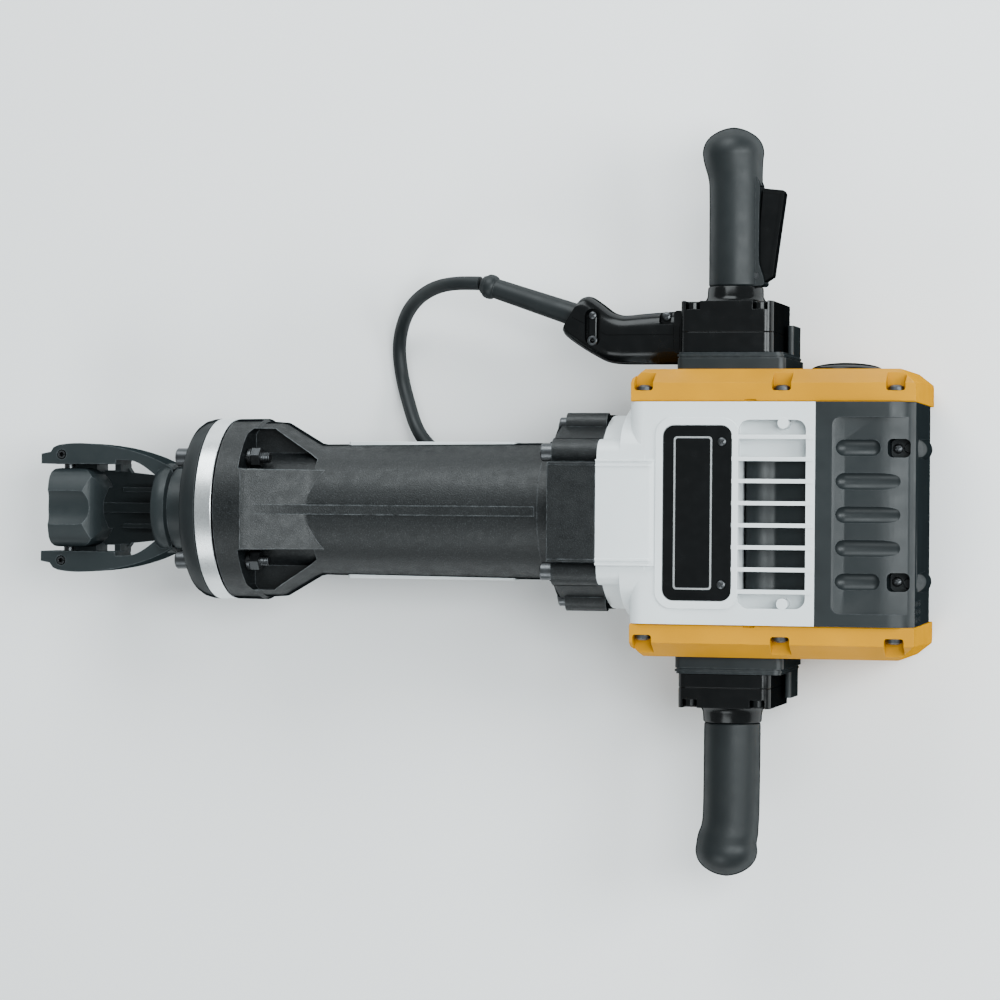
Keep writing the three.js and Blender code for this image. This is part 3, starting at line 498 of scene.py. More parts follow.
CORD_DIAMETER = 0.0125
CORD_ROUTE = [
    (0.0046, 0.1955, 0.0858), (-0.006, 0.1959, 0.083), (-0.0195, 0.1961, 0.078),
    (-0.035, 0.1949, 0.069), (-0.0505, 0.1912, 0.057), (-0.0655, 0.1844, 0.043),
    (-0.078, 0.1742, 0.030), (-0.0865, 0.1619, 0.019), (-0.0915, 0.1484, 0.011),
    (-0.093, 0.1356, 0.007), (-0.0917, 0.1225, 0.0064), (-0.0888, 0.1094, 0.008),
    (-0.084, 0.0962, 0.013), (-0.078, 0.0829, 0.0205), (-0.0715, 0.0697, 0.0275),
    (-0.064, 0.058, 0.032),
]
DROP_IN = [
    (-0.054, 0.0475, 0.0334), (-0.042, 0.039, 0.0326), (-0.030, 0.0332, 0.0284),
    (-0.018, 0.0307, 0.0236),
]
HANK_CENTRE = (-0.0315, -0.010)
HANK_HALF_RUN = 0.0545
OUTER, INNER = 0.05275, 0.04025  # the two tracks, from the middle line of the hank
TOP, BOTTOM = 0.02005, 0.00755  # the two layers, above the floor
HANK_START, HANK_END = 0.72, 14.0  # quarters of a turn: run, fold, run, fold
TO_PLUG = [(0.009, -0.049, 0.0076), (-0.002, -0.0435, 0.0078)]

# The pieces on the lead are shaped in millimetres, like all others.
SLEEVE_START = Vector((86.4, 168.5, 92))
SLEEVE_END = Vector((7, 194.7, 86))
PLUG_START = Vector(TO_PLUG[-1]) / TO_METRES
PLUG_TURN = radians(150)
PLUG_WAY = Vector((cos(PLUG_TURN), sin(PLUG_TURN), 0))


def smoothstep(value, start, end):
    t = min(max((value - start) / (end - start), 0), 1)
    return t * t * (3 - 2 * t)


def hank_point(quarters):
    """Where the lead lies after some quarters of a turn, counted from the +Y run's front end.

    It starts on the inner track of the top layer, moves out, down and in again.
    """
    radius = INNER + (OUTER - INNER) * (
        smoothstep(quarters, 3.1, 3.9) - smoothstep(quarters, 10.05, 10.55)
    )
    height = TOP + (BOTTOM - TOP) * smoothstep(quarters, 6.42, 6.98)
    part = quarters % 4
    share = part % 1
    if part < 1:
        x, y = (2 * share - 1) * HANK_HALF_RUN, radius
    elif part < 2:
        angle = radians(90 - 180 * share)
        x, y = HANK_HALF_RUN + radius * cos(angle), radius * sin(angle)
    elif part < 3:
        x, y = (1 - 2 * share) * HANK_HALF_RUN, -radius
    else:
        angle = radians(-90 - 180 * share)
        x, y = -HANK_HALF_RUN + radius * cos(angle), radius * sin(angle)
    return (HANK_CENTRE[0] + x, HANK_CENTRE[1] + y, height)


def lead_points():
    """The middle line of the whole lead, from its bend sleeve to its plug."""
    points = CORD_ROUTE + DROP_IN
    quarters = HANK_START
    while quarters < HANK_END - 0.01:
        points.append(hank_point(quarters))
        quarters += 0.16 if quarters % 4 < 1 or 2 < quarters % 4 < 3 else 0.1
    points.append(hank_point(HANK_END))
    return points + TO_PLUG


def power_cord(plug_piece, sleeve):
    line = smooth_line(lead_points(), per_span=3)
    curve = bpy.data.curves.new("lead", "CURVE")
    curve.dimensions = "3D"
    curve.bevel_depth = CORD_DIAMETER / 2
    curve.bevel_resolution = 6
    curve.use_fill_caps = True
    spline = curve.splines.new("POLY")
    spline.points.add(len(line) - 1)
    for target, point in zip(spline.points, line):
        target.co = (*point, 1)
    spline.use_smooth = True
    cord = show("lead", curve)
    curve.materials.append(MATERIALS["rubber"])
    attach(cord, "switch_handle")
    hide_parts("power_cord", "cord_hank")


def along(profile, start, end, steps=32):
    """A turned solid that runs from one point to another, both in floor coordinates."""
    way = (end - start).normalized()
    bm = lathe(profile, steps=steps)
    turn = Vector((1, 0, 0)).rotation_difference(way).to_matrix().to_4x4()
    shift = start - Vector((0, AXIS_SHIFT, AXIS_HEIGHT))
    bm.transform(Matrix.Translation(shift) @ turn)
    return bm


def bend_sleeve():
    """The tapered rubber sleeve where the lead leaves its arm, ending in a bead."""
    length = (SLEEVE_END - SLEEVE_START).length
    bead = arc((length - 8, 8.9), (5.2, 2.3), 180, 0)
    profile = [(-9, 0), (-9, 10.4), (length - 15, 9.0)] + bead
    profile += [(length - 1, 8.2), (length + 0.4, 7.2), (length + 0.4, 0)]
    return piece(
        "bend_sleeve", along(profile, SLEEVE_START, SLEEVE_END), "rubber", "switch_handle",
        ("strain_relief",), edge=0.5,
    )


def plug():
    """A flat two-pin plug: a waisted body with finger grooves, and its own bend sleeve."""
    outline = smooth_line([
        (18, -8), (24, -12), (31, -17), (42, -18), (53, -17.6), (58, -15),
        (58, 15), (53, 17.6), (42, 18), (31, 17), (24, 12), (18, 8),
    ], closed=True)
    body = prism(outline, "Z", 0.4, 23.6)
    grooves = [
        block(about(x, 1), y, (-5, 30))
        for y in ((16.9, 20), (-20, -16.9))
        for x in (36, 40.5, 45, 49.5)
    ]
    body = cut(body, *grooves)
    place = Matrix.Translation((PLUG_START.x, PLUG_START.y - AXIS_SHIFT, -AXIS_HEIGHT)) @ (
        Matrix.Rotation(PLUG_TURN, 4, "Z")
    )
    body.transform(place)
    sleeve_end = PLUG_START + 21 * PLUG_WAY + Vector((0, 0, 4))
    sleeve = along([(-0.5, 0), (-0.5, 7.2), (21, 9), (21, 0)], PLUG_START, sleeve_end)
    pins = [rod(2.4, 57, 77, at=(0, y, 12), steps=20) for y in (-9.5, 9.5)]
    for pin in pins:
        pin.transform(place)
    made = piece("plug_body", join(body, sleeve), "rubber", "switch_handle", ("plug",), edge=1.6)
    piece("plug_pins", gathered(pins), "ground_steel", "switch_handle", edge=0.8)
    bpy.data.objects["plug_pins"].parent = made
    return made


power_cord(plug(), bend_sleeve())

# ------ floor and light

STUDIO_WHITE = (0.93, 1.0, 1.02)


def studio():
    """A pale floor under soft lights that leave the upward faces without a reflection."""
    bm = bmesh.new()
    bmesh.ops.create_grid(bm, x_segments=2, y_segments=2, size=4)
    floor = show("floor", mesh_of("floor", bm))
    floor.location.z = -0.0005
    pale = Shader("floor")
    pale.set("Base Color", (0.92, 0.92, 0.92, 1))
    pale.set("Roughness", 0.9)
    pale.set("Specular IOR Level", 0.1)
    floor.data.materials.append(pale.material)

    world = bpy.data.worlds.new("studio")
    world.use_nodes = True
    background = world.node_tree.nodes["Background"]
    background.inputs["Color"].default_value = (*STUDIO_WHITE, 1)
    background.inputs["Strength"].default_value = 0.46
    bpy.context.scene.world = world

    lights = {
        "key": ((-0.4, 2.3, 1.6), 1.8, 84),
        "fill": ((-0.4, -2.0, 1.9), 1.3, 34),
        "top": ((1.15, 0.2, 2.2), 0.9, 44),
        "side": ((2.0, 0.3, 1.35), 0.9, 44),
    }
    for name, (place, size, power) in lights.items():
        lamp = bpy.data.lights.new(name, "AREA")
        lamp.size = size
        lamp.energy = power
        lamp.color = STUDIO_WHITE
        made = show(name, lamp)
        made.location = place
        made.rotation_euler = (-Vector(place)).to_track_quat("-Z", "Y").to_euler()


studio()

# ------ tool end

FORK_REAR = -278


def nose_fork():
    """Two bowed arms from a rounded collar, with the cradle that the chisel lies over."""
    outer = smooth_line([
        (-389.5, 57.8), (-378, 59.2), (-363, 59.3), (-343, 57.4), (-322, 53.6), (-300, 47),
        (-282, 39),
    ])
    inner = smooth_line([
        (-288, 24.5), (-296, 31), (-304, 37), (-312, 41.5), (-320, 43.8), (-333, 44.4),
    ])
    inner.append((-334, 40.4))
    tongue = [(NOSE_TIP, 40.3), (NOSE_TIP, 49.6), (-397.5, 51.3), (-394.5, 55.6)]
    outline = tongue + outer + [(FORK_REAR, 36), (FORK_REAR, 22)] + inner
    arm = prism(outline, "Z", -21, 21)
    pin_way = rod(5.2, 30, 70, "Y", (LATCH_PIVOT, 0, 0))
    roll_pin_way = rod(4.6, 14, 30, "Z", (LATCH_PIVOT, 48.9, 0), 24)
    arm = cut(arm, pin_way, roll_pin_way)
    arms = [arm, mirrored(arm)]
    collar = lathe([
        (-294, 24.1), (-294, 35.5), (-292.8, 39.5), (-289.5, 42), (-284, 42.6), (-280, 41.6),
        (FORK_REAR, 38.6), (FORK_REAR, 37.6), (-200, 37.6), (-200, 24.1),
    ], steps=96)
    half_cradle = [
        (-390, 37.5), (-364.5, 37.5), (-364.5, 35), (-347, 35), (-347, 37.5), (-341, 37.5),
        (-338, 33), (-300, 29), (-282, 28),
    ]
    cradle = prism([(x, -y) for x, y in half_cradle] + half_cradle[::-1], "Z", -42, -34)
    walls = [
        block(x, about(side * 37.6, 3.8), (-42, -14))
        for side in (1, -1)
        for x in ((-390, -364.5), (-347, -341))
    ]
    rib = prism([(-388, -38), (-286, -38), (-286, -24), (-330, -28), (-388, -31)], "Y", -4.6, 4.6)
    ribs = [block((-345, -312), about(side * 17, 2), (-38, -30)) for side in (1, -1)]
    return piece(
        "nose_fork_cast", join(arms[0], arms[1], collar, cradle, *walls, rib, *ribs),
        "forged_steel", nodes=("nose_fork",), edge=3.0, steps=5,
    )


def roll_pins():
    """The split pins that hold the latch's stub pins in the arms."""
    pins = []
    for side in (1, -1):
        at = (LATCH_PIVOT, side * 48.9, 0)
        pin = lathe([(14, 2.2), (14, 3.6), (21.4, 3.6), (21.4, 2.2)], "Z", at, 24)
        split = block((LATCH_PIVOT, LATCH_PIVOT + 6), about(at[1], 0.5), (10, 30))
        pins.append(cut(pin, split))
    piece("latch_roll_pins", gathered(pins), "bolt_steel", edge=0.3)


def tool_latch():
    """The saddle over the shank: rounded on top, with a channel along its middle."""
    plan = smooth_line([
        (-392, -35.5), (-392.3, -14), (-393.6, 0), (-392.3, 14), (-392, 35.5), (-380, 36.2),
        (-364, 35.8), (-353, 30), (-345.5, 18), (-343.4, 0), (-345.5, -18), (-353, -30),
        (-364, -35.8), (-380, -36.2),
    ], per_span=5, closed=True)
    half = [(36.3, -6), (36.3, 12), (34.8, 25), (29, 34), (18, 39.6), (8, 41.4)]
    section = smooth_line([(-y, z) for y, z in half] + [(0, 41.8)] + half[::-1], 4)
    saddle = combine(prism(plan, "Z", -6, 44), "INTERSECT", [prism(section, "X", -400, -335)])
    slope = prism(
        smooth_line([(-366, 44), (-358, 40), (-351, 33), (-346.5, 22), (-344, 8)], 4)
        + [(-330, 8), (-330, 60), (-366, 60)], "Y", -60, 60,
    )
    channel = lathe(
        [(-400, 0), (-400, 25.5), (-366, 25.5), (-348, 24), (-338, 21), (-338, 0)], at=(0, 0, 60.5),
        steps=120,
    )
    shank_way = rod(19, -410, -330)
    below = block((-410, -330), (-19, 19), (-25, 0))
    eyes = rod(8.5, -36.2, 36.2, "Y", (LATCH_PIVOT, 0, 0))
    pin_hole = rod(5.2, -50, 50, "Y", (LATCH_PIVOT, 0, 0))
    bm = cut(join(saddle, eyes), slope, channel, shank_way, below, pin_hole)
    return piece(
        "tool_latch_saddle", bm, "forged_steel", "latch", ("tool_latch",), edge=3.5, sharp=25, steps=5
    )


def latch_pins():
    for side, name in ((1, "switch"), (-1, "plain")):
        start, end = (20.6, 57) if side > 0 else (-57, -20.6)
        piece(
            f"stub_pin_{name}", rod(4.9, start, end, "Y", (LATCH_PIVOT, 0, 0)), "bolt_steel",
            nodes=(f"latch_pin_{name}_side",), edge=0.8,
        )


def hex_outline(centre, across, turn=0.0):
    corner = across / sqrt(3)
    angles = [radians(60 * i) + turn for i in range(6)]
    return [(centre[0] + corner * cos(angle), centre[1] + corner * sin(angle)) for angle in angles]


def tool_sleeve():
    sleeve = cut(
        lathe([(-293, 0), (-293, 22.6), (-292, 23.7), (-206, 23.7), (-206, 0)]),
        prism(hex_outline((0, 0), 28.6), "X", -300, -190),
        lathe([(-294, 0), (-294, 18.6), (-290.5, 14), (-290.5, 0)]),
    )
    piece("tool_sleeve_hex", sleeve, "ground_steel", nodes=("tool_sleeve",), edge=0.4)


NOSE_BOLTS = [(y * BOLT_CIRCLE, z * BOLT_CIRCLE) for y, z in ((1, 1), (-1, 1), (-1, -1), (1, -1))]


def nose_bolts():
    """Socket-head bolts through the disc, ring and flange, with spring washers and nuts."""
    for number, (y, z) in enumerate(NOSE_BOLTS, 1):
        at = (0, y, z)
        head = cut(
            lathe([(-264, 0), (-264, 7.2), (-262.8, 8.2), (-253.4, 8.2), (-253.4, 0)], at=at),
            prism(hex_outline((y, z), 8), "X", -270, -258),
        )
        shank = [(-254, 0), (-254, 5), (-184, 5)]
        thread = []
        for turn in range(5):
            start = -183.5 + turn * 1.5
            thread += [(start, 4.3), (start + 0.75, 5)]
        shank = lathe(shank + thread + [(-176, 4.2), (-176, 0)], at=at, steps=24)
        nut = prism(hex_outline((y, z), 15.6, 0.3 * number), "X", -192.4, -184.4)
        washer = cut(
            lathe([(-196, 0), (-196, 8.0), (-193, 8.0), (-193, 0)], at=at),
            block((-200, -190), about(y, 0.6), (z, z + 12)),
        )
        bm = join(head, shank, nut, washer)
        piece(f"nose_bolt_set_{number}", bm, "bolt_steel", nodes=(f"nose_bolt_{number}",), edge=0.4)


def bolt_holes(start, end, radius=5.3):
    return [rod(radius, start, end, at=(0, y, z), steps=24) for y, z in NOSE_BOLTS]


def bumper_disc():
    profile = [
        (-253, 38.2), (-253, 74), (-251.5, 77.5), (-247, 80.6), (-241, 82.2), (-236.4, 82.6),
        (-236.4, 38.2),
    ]
    flats = [block((-256, -247.5), y, (76.5, 90)) for y in ((30, 62), (-62, -30))]
    bm = cut(lathe(profile, steps=128), *bolt_holes(-260, -230), *flats)
    piece("bumper_disc_rubber", bm, "rubber", nodes=("bumper_disc",), edge=0.8)


def collar_ring():
    profile = [
        (-236, 38.2), (-236, 82.0), (-235.4, 82.6), (-220.9, 82.6), (-220.3, 82.0), (-220.3, 38.2),
    ]
    bm = cut(lathe(profile, steps=128), *bolt_holes(-240, -215))
    piece("collar_ring_turned", bm, "silver_ring", nodes=("collar_ring",), edge=0.3)


nose_fork()
roll_pins()
tool_latch()
latch_pins()
tool_sleeve()
nose_bolts()
bumper_disc()
collar_ring()

# ------ barrel

FLANGE_BOLTS = [(52, 70), (-52, 70), (74, 0), (-74, 0), (52, -70), (-52, -70)]
SADDLE_HALF = 35.5


def barrel_housing():
    """The black casting: front flange, windows for the nuts, barrel and stepped rear flange."""
    shell = lathe([
        (-218.5, 38.2), (-218.5, 82.3), (-192, 82.6), (-189.5, 80.2), (-174, 79.2), (-171, 77.5),
        (-142, 60.6), (-136, 59.4), (74.5, 61.4), (75, 63), (88, 63.3), (88, 82.5), (89.5, 84),
        (92, 86), (133, 86), (133, 47), (-200, 47), (-200, 38.2),
    ], steps=144)
    pad_outline = rounded((-44, 44), (-92, 90), 3)
    pad = prism(pad_outline, "X", 90, 133)
    ridges = [
        prism(rounded(about(side * 42.3, 1.3), (80, 91.2), 0.6, 3), "X", 91, 133)
        for side in (1, -1)
    ]
    bosses = [rod(12.5, 92, 133, at=(0, y, z), steps=40) for y, z in FLANGE_BOLTS]
    small_bosses = [rod(9.5, 96, 133, at=(0, y, z), steps=32) for y, z in ((78, 33), (-78, 33))]
    spine = prism(
        [(-190, 50), (-190, 81.6), (-186, 79.3), (-141, 61.6), (72, 62.3), (72, 50)], "Y", -4.2, 4.2
    )
    body = join(shell, pad, *bosses, *small_bosses, *ridges)
    windows = []
    slopes = []
    roofs = []
    for up in (1, -1):
        ramp = [
            (-193, up * 82.4), (-189, up * 81.2), (-185, up * 79), (-180, up * 76.6),
            (-141, up * 60.8), (-133, up * 55.5), (-124, up * 47.5),
        ]
        roofs.append(
            prism([(-193, up * 40)] + ramp + [(-124, up * 40)], "Y", -SADDLE_HALF, SADDLE_HALF)
        )
        slopes.append(
            prism(
                ramp[:5] + [(-137, up * 59.5), (-137, up * 100), (-193, up * 100)],
                "Y", -SADDLE_HALF, SADDLE_HALF,
            )
        )
        for side in (1, -1):
            plan = [
                (-197.5, side * 36.5), (-197.5, side * 68), (-194, side * 73), (-176, side * 73),
                (-134, side * 45), (-134, side * 35.5),
            ]
            lump = prism(plan, "Z", *((22, 95) if up > 0 else (-95, -22)))
            windows.append(cut(lump, rod(55.5, -210, -120, steps=72)))
    bore = rod(46.9, -199.9, 140, steps=72)
    tapped = [rod(8.7, 80, 92, at=(0, y, z), steps=32) for y, z in FLANGE_BOLTS]
    body = cut(join(body, *roofs), *slopes)
    body = join(body, spine)
    body = cut(body, bore, *windows, *bolt_holes(-225, -190), *tapped)
    piece("barrel_casting", body, "black_casting", nodes=("barrel_housing",), edge=1.1, sharp=28)


def label_plates():
    """A thin blank plate along each side of the barrel."""
    for name, side in (("label_plate_switch_side", 1), ("label_plate_plain_side", -1)):
        plate = prism(rounded((-113, 43), (-11, 11), 3), "Y", *sorted((side * 58, side * 61.9)))
        piece(name, cut(plate, rod(56, -120, 50, steps=96)), "silver_casting", edge=0.3)


def socket_screw(y, z, head_start, head_end, shank_end, radius=8.0, socket=8.0):
    at = (0, y, z)
    head = cut(
        lathe([
            (head_start, 0), (head_start, radius - 0.9), (head_start + 0.9, radius),
            (head_end, radius), (head_end, 0),
        ], at=at),
        prism(hex_outline((y, z), socket), "X", head_start - 2, head_start + 5),
    )
    return join(head, rod(4, head_end - 1, shank_end, at=at, steps=24))


def barrel_bolts():
    for number, (y, z) in enumerate(FLANGE_BOLTS, 1):
        nodes = (f"barrel_bolt_{number}",) if number <= 4 else ()
        bm = socket_screw(y, z, 81, 91.6, 130)
        piece(f"flange_bolt_{number}", bm, "bolt_steel", nodes=nodes, edge=0.35)
    for number, (y, z) in enumerate(((78, 33), (-78, 33)), 1):
        bm = socket_screw(y, z, 89, 95.8, 120, radius=5.5, socket=5)
        piece(f"flange_screw_{number}", bm, "bolt_steel", edge=0.3)


barrel_housing()
label_plates()
barrel_bolts()

# ------ body

VENT_X = (257.8, 316.2)
VENT_Y = (-81.6, 80.6)
RIB_PITCH = 19.0
PLATE_X = (191.8, 252.6)
PLATE_Y = (-76, 76)
SEAM_X = 324
REAR_SCREW_Y = (56.6, -57.6)


def body_casting():
    """The silver casting: rounded front edges, raised centre land, plate frame, ribbed vent."""
    low_corner = arc((BODY_FRONT + 14, BODY_BACK + 14), (14, 14), 270, 180)
    top_corner = arc((BODY_FRONT + 14, BODY_TOP - 14), (14, 14), 180, 90)
    profile = [(SEAM_X, BODY_BACK)] + low_corner + top_corner + [(SEAM_X, BODY_TOP)]
    shell = prism(profile, "Y", -BODY_HALF_WIDTH, BODY_HALF_WIDTH)
    neck = rod(86, 133.4, BODY_FRONT + 4, steps=144)
    land = prism([
        (133.4, BODY_BACK), (133.4, 90), (180, 88.4), (184, 87), (186.5, 84), (186.5, 80),
        (165, 70), (165, BODY_BACK),
    ], "Y", -44, 44)
    ridge = [(133.4, 80), (133.4, 91.2), (180, 90.2), (187, 84)]
    ridges = [prism(ridge, "Y", y - 0.9, y + 0.9) for y in (40.9, 45, -40.9, -45)]
    tier_half = smooth_line([(63.5, 52), (63.5, 70), (61.5, 78), (56, 83.6), (47, 85.8)], 4)
    tier = prism(tier_half + [(-y, z) for y, z in reversed(tier_half)], "X", 133.4, 176)
    flare_half = smooth_line([(93, 30), (88, 48), (80, 66), (70, 79), (58, 85)], 4)
    flare = prism(flare_half + [(-y, z) for y, z in reversed(flare_half)], "X", 154, 176)
    rim_outline = rounded((185.7, 258.6), (-82.3, 82.1), 15, 10)
    frame_rim = prism(rim_outline, "Z", BODY_TOP - 3, BODY_TOP + 1.9)
    plate_seat = prism(rounded(PLATE_X, PLATE_Y, 10, 10), "Z", BODY_TOP - 1.5, BODY_TOP + 6)
    hollow = block((BODY_FRONT + 7, 330), (-97, 97), (BODY_BACK + 7, BODY_TOP - 7))
    bore = rod(47, 130, BODY_FRONT + 10, steps=72)
    vent = prism(rounded(VENT_X, VENT_Y, 9, 8), "Z", 60, 95)
    body = join(shell, neck, land, *ridges, tier, flare, frame_rim)
    body = cut(body, hollow, bore, plate_seat, vent)

    ribs = []
    for i in range(8):
        y = (i - 3.5) * RIB_PITCH - 0.6
        ribs.append(block((252, 322), about(y, 1.75), (BODY_TOP - 9, BODY_TOP + 0.9)))
    ledges = [
        block((252, 322), y, (bottom, 70))
        for y, bottom in (((49, 92), 66), ((-92, -66), 66), ((49, 52), 60), ((-69, -66), 60))
    ]
    walls = [block((252, 256.5), (-92, 92), (40, 80)), block((317.5, 322), (-92, 92), (60, 80))]
    posts = [rod(4.8, 66, BODY_TOP + 0.4, "Z", (296.3, y, 0)) for y in (77.6, -77.4)]
    body = join(body, *ribs, *ledges, *walls, *posts)
    nodes = ("body_casting",)
    piece("body_shell", body, "silver_casting", nodes=nodes, edge=1.3, sharp=26, steps=4)


def motor_shroud():
    """The dark wavy cover over the motor, behind the vent's ribs."""
    crest = smooth_line([
        (257.2, 48), (261, 56.5), (268, 60.5), (276, 60), (283, 57.2), (288, 57),
        (296, 60.5), (306, 63.5), (319, 65),
    ], 4)
    sheet = prism(crest + [(x, z - 2.2) for x, z in reversed(crest)], "Y", -65.5, 48.5)
    piece("motor_shroud", sheet, "grey_plastic", edge=0.4, sharp=50)


def cross_screw(x, y, z, radius, name, body="machine"):
    """A small pan-head screw with a cross recess."""
    head = lathe(
        [(-3, 0), (-3, radius), (0, radius), (0.9, radius * 0.86), (1.5, radius * 0.5), (1.7, 0)],
        "Z", steps=32,
    )
    arm = radius * 0.6
    cross = [
        block((-arm, arm), (-0.55, 0.55), (0.4, 4)), block((-0.55, 0.55), (-arm, arm), (0.4, 4)),
    ]
    bm = cut(head, *cross)
    bm.transform(Matrix.Rotation(0.5, 4, "Z"))
    bm.transform(Matrix.Translation((x, y, z)))
    return piece(name, bm, "bolt_steel", body, edge=0.2)


def nameplate():
    """A blank black plate with a thin pale line near its edge."""
    plan = rounded(inset(PLATE_X, 0.5), inset(PLATE_Y, 0.5), 9.5, 10)
    plate = prism(plan, "Z", BODY_TOP - 1.2, BODY_TOP + 0.9)
    made = piece("nameplate_blank", plate, "black_gloss", nodes=("nameplate",), edge=0.5)
    line = cut(
        prism(rounded((201.5, 235), (-66, 66), 3, 6), "Z", BODY_TOP, BODY_TOP + 1.05),
        prism(rounded((203, 233.5), (-64.5, 64.5), 2, 6), "Z", BODY_TOP - 1, BODY_TOP + 4),
    )
    border = piece("nameplate_line", line, "silver_ring")
    border.parent = made
    for number, y in enumerate((61.5, -61.5), 1):
        cross_screw(243.6, y, BODY_TOP + 0.9, 4.0, f"nameplate_screw_{number}")


def rear_cover():
    """Grey plastic with a sunk panel of flutes, screw pockets and a grid of small vents."""
    radius = 22
    low_corner = arc(
        (BODY_REAR - REAR_SLOPE - radius, BODY_BACK + radius), (radius, radius), 270, 360
    )
    top_corner = arc((BODY_REAR - radius, BODY_TOP - radius), (radius, radius), 0, 90)
    seam = SEAM_X + GAP
    profile = [(seam, BODY_BACK)] + low_corner + top_corner + [(seam, BODY_TOP)]
    hollow = [(SEAM_X - 5, -80), (390, -80), (397, -72), (399, 60), (388, 73), (SEAM_X - 5, 73)]
    shell = cut(
        prism(profile, "Y", -BODY_HALF_WIDTH, BODY_HALF_WIDTH), prism(hollow, "Y", -90, 90),
        block((SEAM_X - 5, 396), (-100, 100), (-70, 60)),
    )
    panel_floor = BODY_TOP - 2.6
    fall = 70
    dish = [(338, BODY_TOP + 0.2), (340, BODY_TOP - 0.9), (349, panel_floor)]
    dish += arc((376, panel_floor - fall), (fall, fall), 90, 64)
    dish += [(410, BODY_TOP + 9), (338, BODY_TOP + 9)]
    outline = prism(rounded((338.5, 409), (-85, 83), 7, 8), "Z", BODY_TOP - 14, BODY_TOP + 10)
    panel = combine(outline, "INTERSECT", [prism(dish, "Y", -90, 90)])
    bm = cut(shell, panel)
    flutes = []
    for i, y in enumerate((56.8, 28.2, -0.4, -28.9, -57.5)):
        end = 381 if i in (0, 4) else 401
        profile = [(341, 0)] + arc((350, 0), (9, 8.2), 165, 90, 5)
        profile += arc((end - 8, 0), (8, 8.2), 90, 15, 5) + [(end, 0)]
        flute = lathe(profile, at=(0, y, BODY_TOP + 1.5), steps=48)
        flutes.append(flute)
    pockets = [prism(rounded((385.6, 404.5), about(y, 8), 4.5), "Z", 54, 95) for y in REAR_SCREW_Y]
    wells = [block((382, 401), about(y, 11), (48, 76)) for y in REAR_SCREW_Y]
    holes = []
    for row in range(3):
        y = -76.5 - 7 * row
        for z in (55, 27):
            outline = rounded(about(y, 1.9), about(z, 10), 0.8, 3)
            holes.append(prism(outline, "X", BODY_REAR - 8, BODY_REAR + 5))
    bm = cut(join(bm, *wells), *flutes, *pockets, *holes)
    ridge = [(-36, 0), (-36, 5), (-28, 9.8), (42, 9.8), (56, 4), (56, 0)]
    ridges = [lathe(ridge, "Z", (BODY_REAR - 6.8, y, 0), 48) for y in (57, -59)]
    bm = join(bm, *ridges)
    nodes = ("rear_cover",)
    piece("rear_cover_shell", bm, "grey_plastic", nodes=nodes, edge=1.2, sharp=25, steps=4)
    for number, y in enumerate(REAR_SCREW_Y, 1):
        cross_screw(391.5, y, 56, 4.2, f"rear_screw_{number}")


def side_covers():
    """The yellow covers: a wide chamfer above and below, and notches for the screws."""
    inner, reach = BODY_HALF_WIDTH + GAP, COVER_REACH
    front, rear = BODY_FRONT + 1.5, BODY_REAR + 1
    section = [
        (inner, COVER_BACK), (112.5, COVER_BACK), (reach, COVER_BACK + 19),
        (reach, COVER_TOP - 19), (112.5, COVER_TOP), (inner, COVER_TOP),
    ]
    plan = [
        (front, inner), (rear, inner), (rear, reach - 13), (rear - 15, reach),
        (front + 9, reach), (front, reach - 9),
    ]
    profile = [
        (front, COVER_BACK), (rear - REAR_SLOPE, COVER_BACK), (rear, COVER_TOP), (front, COVER_TOP),
    ]
    for side, name in ((1, "switch"), (-1, "plain")):
        lump = combine(
            prism(section, "X", front, rear), "INTERSECT",
            [prism(plan, "Z", -100, 100), prism(profile, "Y", 0, reach + 1)],
        )
        within = (COVER_BACK + 17, COVER_TOP - 17)
        cuts = [block((front + 5, rear - 27), (inner - 1, reach - 4), within)]
        for x in COVER_SCREWS:
            for span in ((COVER_TOP - 14, 95), (-105, COVER_BACK + 14)):
                cuts.append(prism(rounded(about(x, 8.4), (105.8, 140), 2.5), "Z", *span))
        groove = block((front - 5, rear + 5), (95, inner + 0.9), (COVER_TOP - 0.8, COVER_TOP + 2))
        slot = block((262, 272), (95, 98.2), (COVER_TOP - 3, COVER_TOP + 2))
        cover = on_side(side, cut(lump, *cuts, groove, slot))
        node = f"side_cover_{name}"
        piece(f"{node}_shell", cover, "yellow_plastic", nodes=(node,), edge=1.3, sharp=20, steps=4)
        for number, x in enumerate(COVER_SCREWS, 1):
            for level, z in (("top", COVER_TOP - 6.4), ("back", COVER_BACK + 6.4)):
                screw = lathe(
                    [(0, 0), (0, 7.2), (3.2, 6.6), (4.4, 4.5), (4.8, 3), (3, 2.6), (3, 0)],
                    "Y", (x, 105.9, z), 32,
                )
                screw_name = f"cover_screw_{name}_{level}_{number}"
                piece(screw_name, on_side(side, screw), "bolt_steel", edge=0.2)


def bearing_cap():
    face = COVER_REACH + GAP
    profile = [(face, 0), (face, 31)] + arc((face + 1, 0), (6.2, 31), 90, 0, 12)
    piece(
        "bearing_cap_dome", lathe(profile, "Y", (MOTOR_X, 0, 0), 96), "black_gloss",
        nodes=("bearing_cap",), edge=0.6,
    )


body_casting()
motor_shroud()
nameplate()
rear_cover()
side_covers()
bearing_cap()

# ------ handles

BOX_X = (199, 280.5)
BOX_Z = (-54, 50)
MOUNT_X = (197, 292.5)
SWITCH_TOP = 185
PLAIN_TOP = 170


